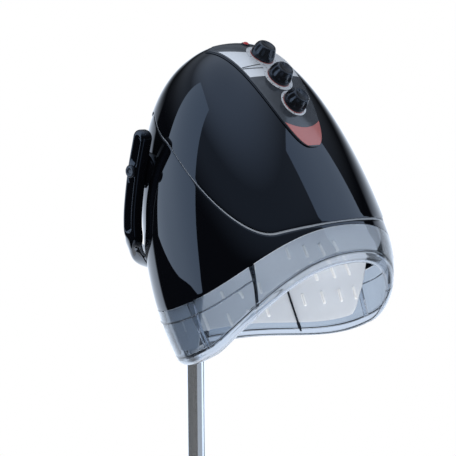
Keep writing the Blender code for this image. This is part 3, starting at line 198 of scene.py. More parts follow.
# Control strip: leaves are (growth, lift, wall), and lifts are heights above the strip's face
STRIP_TIP_DROP = 0.197
STRIP_TOP_DROP = 0.008
STRIP_HALF_WIDTH = 0.060
STRIP_SWELL = 0.35
STRIP_CROWN_SHARE = 0.9
STRIP_TIP_CROWDING = 1.6
STRIP_WALL = 0.002
STRIP_SLOPE_STEP = 0.0005
CROWN_MARGIN = 0.0005
LEAF_GRID = (40, 110)
LEAF_FULL_HALF = 0.02
RIM_LEAF = (0.0018, -0.0011, 0.0012)
TIP_LEAF = (-0.0012, 0.00035, 0.0008)
TIP_SPAN = (0.002, 0.040)
SCALE_LEAF = (-0.0022, 0.0002, 0.0005)
SCALE_SPAN = (0.0800, 0.0250)
FIELD_SAG = 0.010
KNOB_DROPS = (0.0435, 0.0836, 0.1277)
DIAL_MARGINS = (0.0060, 0.0060, 0.0036)
DIAL_COLUMNS = 72
DIAL_ROWS = 6
DIAL_WALL = 0.0005
PLATE_INNER = 0.004
PLATE_LIFT = 0.0004
RING_INSIDE = 0.002
RING_OUTSIDE = 0.0005
RING_LIFT = 0.0007
TICK_COUNT = 11
TICK_START = -150.0
TICK_STEP = 30.0
TICK_HALF = 0.016
TICK_COLUMNS = 2
TICK_INNER = 0.0030
TICK_OUTER = 0.0008
TICK_LIFT = 0.0006
TICK_WALL = 0.0004
RULES = ((0.0590, 0.004), (0.0660, -0.001))
RULE_GRID = (10, 2)
RULE_TALL = 0.0009
RULE_START = 0.0165
RULE_SHORT = 0.0190
RULE_LIFT = 0.0007
RULE_WALL = 0.0004
LAMP_DROP = 0.0145
LENS_PROFILE = ((0.0, 0.0040), (0.0018, 0.0038), (0.0034, 0.0030), (0.0046, 0.0014), (0.0048, 0.0003), (0.0, 0.0003))
BEZEL_PROFILE = ((0.0062, 0.0001), (0.0062, 0.0012), (0.0056, 0.0018), (0.0050, 0.0014), (0.0050, 0.0001))

# Control knobs: flute ends are (distance, fade), and the mark is set from the top's edge
KNOBS = (("knob_timer", "timer_dial"), ("knob_heat", "heat_dial"), ("knob_speed", "speed_dial"))
KNOB_TOP_SHARE = 0.60
KNOB_CLEAR = 0.0012
KNOB_SKIRT = 0.0045
KNOB_STEPS = 16
KNOB_FLUTES = 8
FLUTE_DEPTH = 0.0017
FLUTE_LOW = (0.0062, 0.003)
FLUTE_HIGH = (0.0006, 0.0015)
FLANK_POWERS = (1.05, 0.95)
MARK_LOW = Vector((-0.0006, -0.0048, -0.0006))
MARK_HIGH = Vector((0.0006, -0.0012, 0.0003))

# Yoke line: in from the arm, behind the pivot and above the pivot
ARM_X = 0.16039
ARM_THICK = 0.020
ARM_WIDE = 0.024
BAR_HIGH = 0.030
ARM_DOME_STEPS = 12
YOKE_SPANS = 14
FORK_COLUMNS = 96
YOKE_REAR_SPREAD = 0.050
YOKE_BEHIND_POLE = 0.026
YOKE_DROP = 0.149
YOKE_PATH = (
    (0.0, -0.0132, 0.0461), (0.0, 0.0, 0.0), (0.0, 0.0092, -0.0484), (0.0, 0.0112, -0.0770),
    (0.003, 0.0128, -0.0931), (0.014, 0.0258, -0.1061), (0.035, 0.0438, -0.1211),
    (0.070, 0.0648, -0.1351), (0.110, 0.0788, -0.1451))
POCKET_LEAN = 0.27
POCKET_ARM_REACH = 0.006
POCKET_TOP = 0.043
POCKET_BOTTOM = -0.078
POCKET_HALF = 0.0078
POCKET_FADE = 0.0022
ISLAND_RADIUS = 0.0105
ISLAND_FADE = 0.0020
NUT_PROFILE = ((0.0, 0.0030), (0.0032, 0.0030), (0.0042, 0.0043), (0.0078, 0.0043), (0.0090, 0.0030),
               (0.0090, 0.0003), (0.0, 0.0003))
PIN_BACK = 0.024
SHELF_DROP = 0.075
SHELF_HALF = 0.022
SHELF_WALL = 0.009
WEB_HALF = 0.003
SOCKET_RADIUS = 0.0185
SCREW_APART = 0.012
SCREW_PROFILE = ((0.0, 0.0022), (0.0026, 0.0022), (0.0028, 0.0043), (0.0044, 0.0043), (0.0050, 0.0037),
                 (0.0050, 0.0003), (0.0025, 0.0003), (0.0025, -0.020), (0.0, -0.020))

# Pole and column
POLE_WALL = 0.0015
POLE_EDGE = 0.0004
COLUMN_WALL = 0.0022
COLUMN_EDGE = 0.0006
COLLAR_RADIUS = 0.0265
COLLAR_PLAY = 0.0004
COLLAR_BOSS_PROFILE = ((0.0044, 0.036), (0.0092, 0.036), (0.010, 0.0352), (0.010, 0.022), (0.0044, 0.022))
GRIP_PROFILE = ((0.0, 0.0505), (0.005, 0.0505), (0.0065, 0.0523), (0.0148, 0.0523), (0.0168, 0.0515),
                (0.0178, 0.0496), (0.018, 0.0470), (0.018, 0.0420), (0.0176, 0.0398), (0.0160, 0.0382),
                (0.0105, 0.0364), (0.004, 0.0364), (0.004, 0.0143), (0.0, 0.0143))
GRIP_LOBES = 6
LOBE_DEPTH = 0.0026
LOBE_POWER = 1.6
LOBE_START = 0.009
LOBE_FADE = 0.004
GLAND_PROFILE = ((0.003, 0.0333), (0.0050, 0.0333), (0.0056, 0.0328), (0.0070, 0.0290), (0.0078, 0.0275),
                 (0.0080, 0.0265), (0.0080, 0.0240), (0.0074, 0.0236), (0.0074, 0.0226), (0.0080, 0.0222),
                 (0.0080, 0.0195), (0.003, 0.0195))

# Base and castors: pairs are values at the hub and at the castor
LEG_COUNT = 5
LEG_COLUMNS = 48
LEG_ROWS = 40
LEG_CLOSING_ROWS = 2
LEG_LEVEL = (0.094, 0.077)
LEG_WIDE = (0.046, 0.034)
LEG_HIGH = (0.034, 0.022)
LEG_START_SHARE = 0.7
HUB_LOW = 0.070
HUB_HIGH = 0.114
LEG_SOCKET_PROFILE = ((0.0, 0.0891), (0.0120, 0.0890), (0.0165, 0.0878), (0.0188, 0.0850), (0.0190, 0.0820),
                      (0.0190, 0.0640), (0.0175, 0.0625), (0.0058, 0.0625), (0.0058, 0.0788), (0.0, 0.0788))
STEM_PROFILE = ((0.0, 0.0782), (0.0049, 0.0782), (0.0055, 0.0776), (0.0055, 0.0622), (0.0100, 0.0622),
                (0.0110, 0.0612), (0.0110, 0.040), (0.0, 0.040))
HUB_COVER_PROFILE = ((0.0285, 0.016), (0.0340, 0.0148), (0.0395, 0.0112), (0.0435, 0.0068), (0.0456, 0.0034),
                     (0.0460, 0.0010), (0.0456, 0.0))
CASTOR_WEB = 0.005
CASTOR_WEB_OVER = 0.003
CASTOR_PLAY = 0.0004
CASTOR_FLOOR = -0.012
AXLE_BORE = 0.0043
GUARD_CLEAR = 0.002
GUARD_WALL = 0.003
GUARD_START = -4.0
GUARD_SWEEP = 188.0
GUARD_ROWS = 48

# Filter grille
GRILLE_HALF = 0.036
GRILLE_LAP = 0.006
GRILLE_SLOTS = 7
GRILLE_SLOT_HALF = 0.002
GRILLE_DROP = 0.024
GRILLE_TALL = 0.042
GRILLE_INSET = -0.0023
GRILLE_WALL = 0.002
GRILLE_FRAME_GRID = (24, 4)
GRILLE_BAR_GRID = (4, 10)

# Finishes and stage: ramps are (start, end, height), box corners are degrees round from the front and up
NOISE_LOW = 0.35
NOISE_HIGH = 0.65
BUMP_DEPTH = 0.0002
# GLOSS_TINT tints the black plastics' reflections blue: a painted reflection colour that stands in for bluish light
GLOSS_TINT = (0.62, 0.76, 1.0, 1.0)
WHITE = (1.0, 1.0, 1.0, 1.0)
FLOOR_RADIUS = 0.9
FLOOR_COLOUR = (0.86, 0.86, 0.87, 1.0)
FLOOR_ROUGHNESS = 0.9
FLOOR_GLOW = 0.30
BACKDROP_SIDE = (0.710, 0.686, -0.156)
BACKDROP_RAMP = (0.58, 0.64, 1.5)
BACKDROP_TOP = (0.04, 0.34, 1.0)
TOP_LIGHT = (0.60, 0.97, 1.5)
TOP_GLOW = (0.30, 0.64, 0.36)
ROOM_LEAST = 0.006
ROOM_TINT = (0.78, 0.87, 1.0, 1.0)
AIM_UP = 0.12
BOX_DISTANCE = 2.0
SOFT_BOXES = (
    ("left_box", ((-156, -5), (-119, -15), (-137, 60), (-93, 58)), (1.55, 1.80, 2.10), True),
    ("right_box", ((36, -30), (67, -30), (36, 45), (67, 45)), (1.15, 1.36, 1.65), True),
    ("low_card", ((-30, -34), (36, -34), (-30, -3), (36, -3)), (0.30, 0.35, 0.42), True),
    ("fill_card", ((-84, -38), (4, -38), (-84, -4), (4, -4)), (2.3, 2.3, 2.3), False))
PHOTO_SIZE = 456.0
PHOTO_FOCUS = 1260.0
PHOTO_SPOT = (277.4, 268.6)
SENSOR = 36.0
CAMERA_SIDE = (-46.0, 9.0)
CAMERA_DISTANCE = 1.8
CAMERA_END = 100.0


def length_setting(name, description, value):
    return bpy.props.FloatProperty(name=name, description=description, default=value, unit="LENGTH")


def colour_setting(name, description, value):
    return bpy.props.FloatVectorProperty(name=name, description=description, subtype="COLOR", size=3, min=0.0,
                                         max=1.0, default=value)


class HoodSizes(bpy.types.PropertyGroup):
    """Sizes of the hood's covers, visor, bowl and controls."""
    half_width: length_setting("Half width", "Half of the hood's widest plan", 0.175)
    front: length_setting("Front reach", "Hood axis to its front", 0.143)
    rear: length_setting("Rear reach", "Hood axis to its back", 0.166)
    height: length_setting("Height", "Widest level to the crown", 0.330)
    pitch: bpy.props.FloatProperty(name="Pitch", description="How far the hood leans back",
                                   default=math.radians(24.0), subtype="ANGLE")
    cover_wall: length_setting("Cover wall", "Wall of the black covers", 0.003)
    visor_wall: length_setting("Visor wall", "Wall of the clear visor", 0.0025)
    bowl_wall: length_setting("Bowl wall", "Wall of the inner bowl", 0.0022)
    slot_length: length_setting("Slot length", "Length of an air slot", 0.020)
    knob_radius: length_setting("Knob radius", "Skirt of a control knob", 0.0175)
    knob_height: length_setting("Knob height", "Height of a control knob", 0.019)


class StandSizes(bpy.types.PropertyGroup):
    """Sizes of the yoke, the pole, the column, the base and its castors."""
    pocket_depth: length_setting("Arm pocket", "Depth of the pocket in a yoke arm", 0.0022)
    pole_radius: length_setting("Pole radius", "Radius of the sliding pole", 0.014)
    column_radius: length_setting("Column radius", "Radius of the fixed column", 0.019)
    hub_radius: length_setting("Hub radius", "Radius of the base's hub", 0.045)
    wheel_radius: length_setting("Wheel radius", "Radius of a castor wheel", 0.025)
    wheel_width: length_setting("Wheel width", "Width of one castor wheel", 0.014)


class FinishChoices(bpy.types.PropertyGroup):
    """Colours of the finishes."""
    cover: colour_setting("Covers", "Gloss black of the covers", (0.0012, 0.0014, 0.0021))
    satin: colour_setting("Satin black", "Knobs, ribs and small mouldings", (0.004, 0.0046, 0.006))
    visor: colour_setting("Visor", "Smoke of the clear visor", (0.555, 0.605, 0.665))
    lip: colour_setting("Visor lip", "Paler roll along the visor's lower edge", (0.80, 0.835, 0.885))
    bowl: colour_setting("Bowl", "Pale plastic of the inner bowl", (0.70, 0.735, 0.785))
    # The seal's pale grey is its own colour in part, and in part paints the highlight line along the seam
    seam: colour_setting("Seam", "Seal between the covers", (0.25, 0.28, 0.325))
    strip: colour_setting("Strip", "Graphite of the control strip", (0.035, 0.042, 0.054))
    tip: colour_setting("Tip", "Red field at the strip's tip", (0.28, 0.092, 0.092))
    lamp: colour_setting("Lamp", "Pilot lamp", (0.50, 0.02, 0.02))
    chrome: colour_setting("Chrome", "Pole and column", (0.78, 0.80, 0.83))
    steel: colour_setting("Steel", "Pins, bolts and motor", (0.52, 0.53, 0.55))
    nylon: colour_setting("Nylon", "Bushes and electrics", (0.72, 0.72, 0.68))


# Building helpers

def pick_none():
    """Object mode with nothing selected."""
    if bpy.context.object and bpy.context.object.mode != "OBJECT":
        bpy.ops.object.mode_set(mode="OBJECT")
    bpy.ops.object.select_all(action="DESELECT")


def pick(*pieces):
    pick_none()
    for piece in pieces:
        piece.select_set(True)
    bpy.context.view_layer.objects.active = pieces[0]


def named(name):
    piece = bpy.context.active_object
    piece.name = name
    piece.data.name = name
    return piece


def close_up(piece, recalculate):
    """Merge seams and poles, and turn the faces outwards where asked."""
    pick(piece)
    bpy.ops.object.mode_set(mode="EDIT")
    bpy.ops.mesh.select_all(action="SELECT")
    bpy.ops.mesh.remove_doubles(threshold=MERGE)
    if recalculate:
        bpy.ops.mesh.normals_make_consistent(inside=False)
    bpy.ops.object.mode_set(mode="OBJECT")


def sheet(name, columns, rows, lay, recalculate=False):
    """A grid primitive whose points are laid by a function of two shares from 0 to 1."""
    pick_none()
    bpy.ops.mesh.primitive_grid_add(x_subdivisions=columns, y_subdivisions=rows, size=2.0)
    piece = named(name)
    for vertex in piece.data.vertices:
        vertex.co = lay((vertex.co.x + 1.0) / 2.0, (vertex.co.y + 1.0) / 2.0)
    close_up(piece, recalculate)
    return piece


def modify(piece, kind, **settings):
    """Add a modifier and apply it."""
    modifier = piece.modifiers.new(kind.lower(), kind)
    for key, value in settings.items():
        setattr(modifier, key, value)
    pick(piece)
    bpy.ops.object.modifier_apply(modifier=modifier.name)


def thicken(piece, wall):
    modify(piece, "SOLIDIFY", thickness=wall, offset=-1.0)


def soften(piece, width, segments=2, angle=CRISP):
    modify(piece, "BEVEL", width=width, segments=segments, limit_method="ANGLE", angle_limit=math.radians(angle))


def smooth(piece, angle=CRISP):
    pick(piece)
    bpy.ops.object.shade_smooth_by_angle(angle=math.radians(angle))


def gather(name, pieces):
    """Join pieces into the first one."""
    pick(*pieces)
    if len(pieces) > 1:
        bpy.ops.object.join()
    return named(name)


def cut_out(piece, cutter):
    """Take a cutter's volume out of a piece and delete the cutter."""
    modify(piece, "BOOLEAN", operation="DIFFERENCE", solver="EXACT", object=cutter)
    pick(cutter)
    bpy.ops.object.delete()


def lathe(name, profile, seat, steps=ROUND_STEPS, closed=False, shape=None):
    """A circle primitive laid out as a profile and spun about Z, then seated."""
    pick_none()
    bpy.ops.mesh.primitive_circle_add(vertices=len(profile), radius=0.01)
    piece = named(name)
    for vertex, (radius, height) in zip(piece.data.vertices, profile):
        vertex.co = (radius, 0.0, height)
    if not closed:
        line = bmesh.new()
        line.from_mesh(piece.data)
        line.verts.ensure_lookup_table()
        ends = {line.verts[0], line.verts[-1]}
        line.edges.remove([edge for edge in line.edges if set(edge.verts) == ends][0])
        line.to_mesh(piece.data)
        line.free()
    bpy.ops.object.mode_set(mode="EDIT")
    bpy.ops.mesh.select_all(action="SELECT")
    bpy.ops.mesh.spin(steps=steps, angle=FULL_TURN, center=(0, 0, 0), axis=(0, 0, 1))
    bpy.ops.object.mode_set(mode="OBJECT")
    close_up(piece, True)
    if shape:
        for vertex in piece.data.vertices:
            vertex.co = shape(vertex.co)
    piece.data.transform(seat)
    return piece


def block(name, low, high, width):
    """A cube primitive between two corners, with rounded edges where a width is given."""
    pick_none()
    low, high = Vector(low), Vector(high)
    bpy.ops.mesh.primitive_cube_add(size=1.0)
    piece = named(name)
    piece.data.transform(Matrix.Translation((low + high) / 2) @ Matrix.Diagonal((*(high - low), 1.0)))
    if width > 0.0:
        soften(piece, width, 3)
    return piece


def finish_of(name):
    return bpy.data.materials[name + "_finish"]


def dress(piece, finish, body, slot, *nodes, angle=CRISP):
    """Shade a piece, give it its finish, hang it on the body it rides on, and hide the solids it stands for."""
    if angle is not None:
        smooth(piece, angle)
    piece.data.materials.clear()
    piece.data.materials.append(finish_of(finish))
    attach(piece, body)
    if nodes:
        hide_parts(*nodes)
    return piece


def seat_on(spot, axis):
    """The matrix that puts Z along an axis at a spot."""
    turn = Vector(axis).to_track_quat("Z", "Y").to_matrix().to_4x4()
    return Matrix.Translation(Vector(spot)) @ turn


def joint_spot(name):
    entry = [entry for entry in frame["joints"] if entry["name"] == name][0]
    return Vector(entry["pos_m"])


def blend(start, end, share):
    return start + (end - start) * share


def raised(profile, level):
    return [(radius, level + height) for radius, height in profile]


def smooth_step(value):
    value = min(1.0, max(0.0, value))
    return value * value * (3.0 - 2.0 * value)


def signed_power(value, power):
    return math.copysign(abs(value) ** power, value)


def section(share, wide, high):
    """A point of a rounded box section, by its share of the way round."""
    turn = FULL_TURN * share
    return (signed_power(math.cos(turn), 2.0 / SECTION_POWER) * wide / 2,
            signed_power(math.sin(turn), 2.0 / SECTION_POWER) * high / 2)


def direction(azimuth, elevation):
    """A direction by its degrees round from the front and up."""
    a, e = math.radians(azimuth), math.radians(elevation)
    return Vector((math.sin(a) * math.cos(e), -math.cos(a) * math.cos(e), math.sin(e)))


def brim_height(angle):
    return BRIM_MEAN + BRIM_WAVE * math.cos(2.0 * angle)


def lip_height(angle):
    return LIP_MEAN + LIP_LEAN * math.cos(angle) + LIP_WAVE * math.cos(2.0 * angle)


def bowl_inset(angle, height):
    edge = RIB_INSET + RIB_DEPTH + GAP
    return blend(edge, BOWL_PLENUM, smooth_step((height - brim_height(angle)) / BOWL_NECK))


def bowl_edge(angle):
    share = smooth_step((abs(angle) - BOWL_CUT_START) / (BOWL_CUT_END - BOWL_CUT_START))
    return blend(brim_height(angle) + BOWL_FRONT_LIFT, lip_height(angle) + BOWL_EDGE, share)


class HoodForm:
    """The hood's skin in the frame of the whole dryer."""

    def __init__(self, sizes):
        self.side = sizes.half_width
        self.front = sizes.front
        self.rear = sizes.rear
        self.height = sizes.height
        self.tip = self.height - STRIP_TIP_DROP
        self.top = self.height - STRIP_TOP_DROP
        self.seat = (Matrix.Translation(joint_spot("hood_tilt")) @ Matrix.Rotation(-sizes.pitch, 4, "X")
                     @ Matrix.Translation((0.0, -PIVOT_BACK, -PIVOT_UP)))

    def radii(self, height, inset):
        side, front, rear = self.side - inset, self.front - inset, self.rear - inset
        if height >= 0.0:
            rise = min(1.0, height / (self.height - inset))
            scale = (1.0 - rise ** CROWN_POWER) ** (1.0 / CROWN_ROUND)
            return side * scale, front * scale, rear * scale
        dip = (height / TAPER_DEPTH) ** 2
        return side - SIDE_TAPER * dip, front - FRONT_TAPER * dip, rear - REAR_TAPER * dip

    def local(self, angle, height, inset=0.0):
        """A point of the skin: angle 0 is the front, a positive inset lies inside."""
        side, front, rear = self.radii(height, inset)
        across = signed_power(math.sin(angle), 2.0 / PLAN_POWER)
        along = signed_power(math.cos(angle), 2.0 / PLAN_POWER)
        reach = front if along > 0.0 else rear
        lean = CROWN_LEAN * (max(0.0, height) / self.height) ** 2
        return Vector((side * across, -reach * along - lean, height))

    def point(self, angle, height, inset=0.0):
        return self.seat @ self.local(angle, height, inset)

    def bowl_point(self, angle, height, inward=0.0):
        return self.point(angle, height, bowl_inset(angle, height) + inward)

    def skin_angle(self, offset, height, inset):
        share = min(1.0, abs(offset) / self.radii(height, inset)[0])
        return math.copysign(math.asin(share ** (PLAN_POWER / 2.0)), offset)

    def boss_face(self):
        """How far out the pivot bosses reach."""
        side, _, rear = self.radii(PIVOT_UP, 0.0)
        share = (PIVOT_BACK + CROWN_LEAN * (PIVOT_UP / self.height) ** 2) / rear
        return side * (1.0 - share ** PLAN_POWER) ** (1.0 / PLAN_POWER) + BOSS_PROUD

    def seam_height(self, angle):
        share = smooth_step((abs(angle) - SEAM_START) / (SEAM_END - SEAM_START))
        return SEAM_FRONT + (self.height - SEAM_REAR_DROP - SEAM_FRONT) * share

    def strip_point(self, offset, height, lift=0.0):
        """A point on the control strip's face, or above it."""
        inset = -CAP_PROUD - GAP - STRIP_WALL - lift
        return self.point(self.skin_angle(offset, height, inset), height, inset)

    def strip_half(self, height):
        swell = max(0.0, (height - self.tip) / (self.top - self.tip)) ** STRIP_SWELL
        return min(STRIP_HALF_WIDTH * swell, STRIP_CROWN_SHARE * self.radii(height, 0.0)[0])

    def crown_frame(self, height):
        """The matrix that seats Z on the strip's face, on the hood's front line."""
        above = self.strip_point(0.0, height + STRIP_SLOPE_STEP)
        slope = (above - self.strip_point(0.0, height - STRIP_SLOPE_STEP)).normalized()
        turn = Matrix((RIGHT, slope, RIGHT.cross(slope))).transposed().to_4x4()
        return Matrix.Translation(self.strip_point(0.0, height)) @ turn


def hood_of(context):
    """The hood's form and its sizes."""
    return HoodForm(context.scene.dryer_hood), context.scene.dryer_hood


def hood_band(name, form, low, high, rows, inset, low_roll=0.0, high_roll=0.0):
    """A band of the hood's skin between two edges, each rolled in by a depth, with rows closing up to the crown."""
    top = form.height - inset
    first = EDGE_ROWS if low_roll > 0.0 else 0
    last = rows - (EDGE_ROWS if high_roll > 0.0 else 0)

    def rolled(angle, edge, way, roll, step):
        turn = QUARTER_TURN * step / EDGE_ROWS
        return form.point(angle, edge + way * EDGE_SLANT * roll * (1.0 - math.cos(turn)),
                          inset + roll * (1.0 - math.sin(turn)))

    def lay(share, rise):
        angle = -math.pi + FULL_TURN * share
        row = round(rise * rows)
        start, end = low(angle), high(angle)
        if row < first:
            return rolled(angle, start, 1.0, low_roll, row)
        end_roll = min(high_roll, (end - start) / 3)
        if row > last:
            return rolled(angle, end, -1.0, end_roll, rows - row)
        low_lift = math.asin((start + EDGE_SLANT * low_roll) / top)
        high_lift = math.asin(min(1.0, (end - EDGE_SLANT * end_roll) / top))
        return form.point(angle, top * math.sin(blend(low_lift, high_lift, (row - first) / (last - first))), inset)

    return sheet(name, HOOD_COLUMNS, rows, lay)


# Shader helpers

def new_group(name, inputs, outputs):
    group = bpy.data.node_groups.new(name, "ShaderNodeTree")
    for label, kind, value in (("Vector", "Vector", (0, 0, 0)),) + inputs:
        socket = group.interface.new_socket(name=label, in_out="INPUT", socket_type="NodeSocket" + kind)
        socket.default_value = value
    for label, kind in outputs:
        group.interface.new_socket(name=label, in_out="OUTPUT", socket_type="NodeSocket" + kind)
    return group, group.nodes.new("NodeGroupInput").outputs, group.nodes.new("NodeGroupOutput").inputs


def add_node(tree, kind, **settings):
    node = tree.nodes.new(kind)
    for key, value in settings.items():
        if isinstance(value, (int, float, tuple)) and key in node.inputs:
            node.inputs[key].default_value = value
        else:
            setattr(node, key, value)
    return node


def feed(tree, socket, value):
    """Link a socket to another one, or set its value."""
    if isinstance(value, bpy.types.NodeSocket):
        tree.links.new(value, socket)
    else:
        socket.default_value = value


def combine(tree, operation, first, second):
    node = add_node(tree, "ShaderNodeMath", operation=operation)
    for socket, value in zip(node.inputs, (first, second)):
        feed(tree, socket, value)
    return node.outputs[0]


def mix_of(tree, factor, *ends):
    """Two colours mixed by a factor."""
    mix = add_node(tree, "ShaderNodeMix", data_type="RGBA")
    tree.links.new(factor, mix.inputs["Factor"])
    for socket, end in zip([socket for socket in mix.inputs if socket.type == "RGBA"], ends):
        feed(tree, socket, end)
    return [socket for socket in mix.outputs if socket.type == "RGBA"][0]


def noise_of(tree, vector, scale, factor, detail):
    """Noise whose scale is a group's input times a factor."""
    noise = add_node(tree, "ShaderNodeTexNoise", Detail=detail)
    tree.links.new(vector, noise.inputs["Vector"])
    tree.links.new(combine(tree, "MULTIPLY", scale, factor), noise.inputs["Scale"])
    return noise.outputs["Fac"]


def spread(tree, value, low, high):
    """Map a noise's middle range onto two values."""
    span = add_node(tree, "ShaderNodeMapRange")
    for socket, edge in (("Value", value), ("From Min", NOISE_LOW), ("From Max", NOISE_HIGH), ("To Min", low),
                         ("To Max", high)):
        feed(tree, span.inputs[socket], edge)
    return span.outputs[0]


def make_polish_group():
    """Polished plastic: broad haze in the gloss, and a faint ripple."""
    group, enter, leave = new_group(
        "polish", (("Scale", "Float", 6.0), ("Gloss", "Float", 0.03), ("Haze", "Float", 0.08)),
        (("Roughness", "Float"), ("Height", "Float")))
    broad = noise_of(group, enter["Vector"], enter["Scale"], 1.0, 4.0)
    group.links.new(spread(group, broad, enter["Gloss"], enter["Haze"]), leave["Roughness"])
    group.links.new(noise_of(group, enter["Vector"], enter["Scale"], 18.0, 1.0), leave["Height"])


def make_grain_group():
    """Moulded or coated grain: two tones, uneven gloss and a fine pebble."""
    group, enter, leave = new_group(
        "grain", (("Scale", "Float", 60.0), ("Dark", "Color", (0, 0, 0, 1)), ("Light", "Color", (1, 1, 1, 1)),
                  ("Gloss", "Float", 0.3), ("Matt", "Float", 0.5)),
        (("Colour", "Color"), ("Roughness", "Float"), ("Height", "Float")))
    broad = noise_of(group, enter["Vector"], enter["Scale"], 0.2, 5.0)
    group.links.new(mix_of(group, spread(group, broad, 0.0, 1.0), enter["Dark"], enter["Light"]), leave["Colour"])
    fine = noise_of(group, enter["Vector"], enter["Scale"], 1.0, 3.0)
    group.links.new(spread(group, fine, enter["Gloss"], enter["Matt"]), leave["Roughness"])
    cells = add_node(group, "ShaderNodeTexVoronoi", feature="SMOOTH_F1")
    group.links.new(enter["Vector"], cells.inputs["Vector"])
    group.links.new(combine(group, "MULTIPLY", enter["Scale"], 14.0), cells.inputs["Scale"])
    group.links.new(cells.outputs["Distance"], leave["Height"])


def make_drawn_group():
    """Drawn or turned metal: fine streaks along Z in the gloss."""
    group, enter, leave = new_group(
        "drawn", (("Scale", "Float", 300.0), ("Gloss", "Float", 0.05), ("Matt", "Float", 0.15)),
        (("Roughness", "Float"), ("Height", "Float")))
    stretch = add_node(group, "ShaderNodeVectorMath", operation="MULTIPLY")
    stretch.inputs[1].default_value = (1.0, 1.0, 0.02)
    group.links.new(enter["Vector"], stretch.inputs[0])
    streaks = noise_of(group, stretch.outputs[0], enter["Scale"], 1.0, 2.0)
    group.links.new(spread(group, streaks, enter["Gloss"], enter["Matt"]), leave["Roughness"])
    group.links.new(streaks, leave["Height"])


def new_material(name):
    """A material, its node tree and the inputs of its shader."""
    material = bpy.data.materials.new(name)
    material.use_nodes = True
    return material, material.node_tree, material.node_tree.nodes["Principled BSDF"].inputs


def make_finish(name, group, settings, bump, colour=None, **sockets):
    """A Principled material fed by one of the shared groups."""
    material, tree, shader = new_material(name + "_finish")
    place = add_node(tree, "ShaderNodeTexCoord")
    effect = add_node(tree, "ShaderNodeGroup")
    effect.node_tree = bpy.data.node_groups[group]
    tree.links.new(place.outputs["Object"], effect.inputs["Vector"])
    for key, value in settings.items():
        effect.inputs[key].default_value = value
    tree.links.new(effect.outputs["Roughness"], shader["Roughness"])
    if "Colour" in effect.outputs:
        tree.links.new(effect.outputs["Colour"], shader["Base Color"])
    if colour is not None:
        shader["Base Color"].default_value = (*colour, 1.0)
    relief = add_node(tree, "ShaderNodeBump", Strength=bump, Distance=BUMP_DEPTH)
    tree.links.new(effect.outputs["Height"], relief.inputs["Height"])
    tree.links.new(relief.outputs["Normal"], shader["Normal"])
    for key, value in sockets.items():
        shader[key.replace("_", " ")].default_value = value
    return material


def shade_of(colour, factor):
    return (*[min(1.0, part * factor) for part in colour], 1.0)


def make_clear(name, colour, gloss, haze, share):
    """Clear plastic, which looks darker where it is seen edge-on, through more of it."""
    material = make_finish(name, "polish", {"Scale": 9.0, "Gloss": gloss, "Haze": haze}, 0.02, colour,
                           Transmission_Weight=1.0, IOR=1.46)
    tree = material.node_tree
    facing = add_node(tree, "ShaderNodeLayerWeight", Blend=0.35)
    tree.links.new(mix_of(tree, facing.outputs["Facing"], (*colour, 1.0), shade_of(colour, share)),
                   tree.nodes["Principled BSDF"].inputs["Base Color"])


def make_grain(name, colour, scale, gloss, matt, bump, contrast=0.2, **sockets):
    make_finish(name, "grain", {"Scale": scale, "Dark": shade_of(colour, 1.0 - contrast),
                                "Light": shade_of(colour, 1.0 + contrast), "Gloss": gloss, "Matt": matt},
                bump, **sockets)


def make_drawn(name, colour, scale, gloss, matt, bump, metallic):
    make_finish(name, "drawn", {"Scale": scale, "Gloss": gloss, "Matt": matt}, bump, colour, Metallic=metallic)


class DRYER_OT_finishes(bpy.types.Operator):
    """Make the shared shader groups and the materials, and give every solid its finish"""
    bl_idname = "dryer.finishes"
    bl_label = "Finishes"

    def execute(self, context):
        choice = context.scene.dryer_finish
        make_polish_group()
        make_grain_group()
        make_drawn_group()
        make_finish("gloss_black", "polish", {"Scale": 7.0, "Gloss": 0.01, "Haze": 0.035}, 0.01, choice.cover,
                    Specular_Tint=GLOSS_TINT, IOR=1.5)
        make_clear("smoked_clear", choice.visor, 0.0, 0.03, 0.38)
        make_clear("lip_clear", choice.lip, 0.02, 0.08, 0.62)
        make_finish("lamp_red", "polish", {"Scale": 90.0, "Gloss": 0.05, "Haze": 0.12}, 0.05, choice.lamp,
                    Transmission_Weight=0.5, IOR=1.5)
        make_grain("satin_black", choice.satin, 90.0, 0.20, 0.32, 0.06, Specular_Tint=GLOSS_TINT)
        make_grain("pale_plastic", choice.bowl, 40.0, 0.42, 0.55, 0.06, 0.03)
        # Near-white slot mouths: raised mouldings in part, and their whiteness paints the light seen through the open
        # slots
        make_grain("slot_white", (0.96, 0.965, 0.97), 60.0, 0.40, 0.50, 0.03, 0.01)
        make_grain("seam_grey", choice.seam, 80.0, 0.35, 0.50, 0.10, 0.08)
        make_grain("strip_graphite", choice.strip, 400.0, 0.07, 0.12, 0.02, 0.12, Metallic=0.3)
        make_grain("tip_red", choice.tip, 60.0, 0.14, 0.20, 0.02, 0.03)
        # Near-black for the strip that paints the shade at the visor lip's inner edge
        make_grain("line_dark", (0.010, 0.012, 0.016), 90.0, 0.12, 0.22, 0.02)
        make_grain("nylon", choice.nylon, 70.0, 0.42, 0.55, 0.08, 0.05)
        make_grain("coated_casting", choice.satin, 140.0, 0.24, 0.36, 0.22, 0.25, Specular_Tint=GLOSS_TINT)
        make_grain("wheel_rubber", (0.012, 0.012, 0.013), 120.0, 0.55, 0.72, 0.20, 0.3)
        make_drawn("dial_silver", (0.50, 0.54, 0.60), 500.0, 0.30, 0.36, 0.01, 0.25)
        make_drawn("chrome", choice.chrome, 260.0, 0.10, 0.17, 0.02, 0.9)
        make_drawn("steel", choice.steel, 500.0, 0.22, 0.36, 0.08, 1.0)
        other_names = {"panel": "strip_graphite", "coated_aluminium": "coated_casting"}
        for entry in frame["record"]["subparts"]:
            solid = frame["nodes"][entry["node"]]
            slot = entry["material_slot"]
            solid.data.materials.clear()
            solid.data.materials.append(finish_of(other_names.get(slot, slot)))
        return {"FINISHED"}


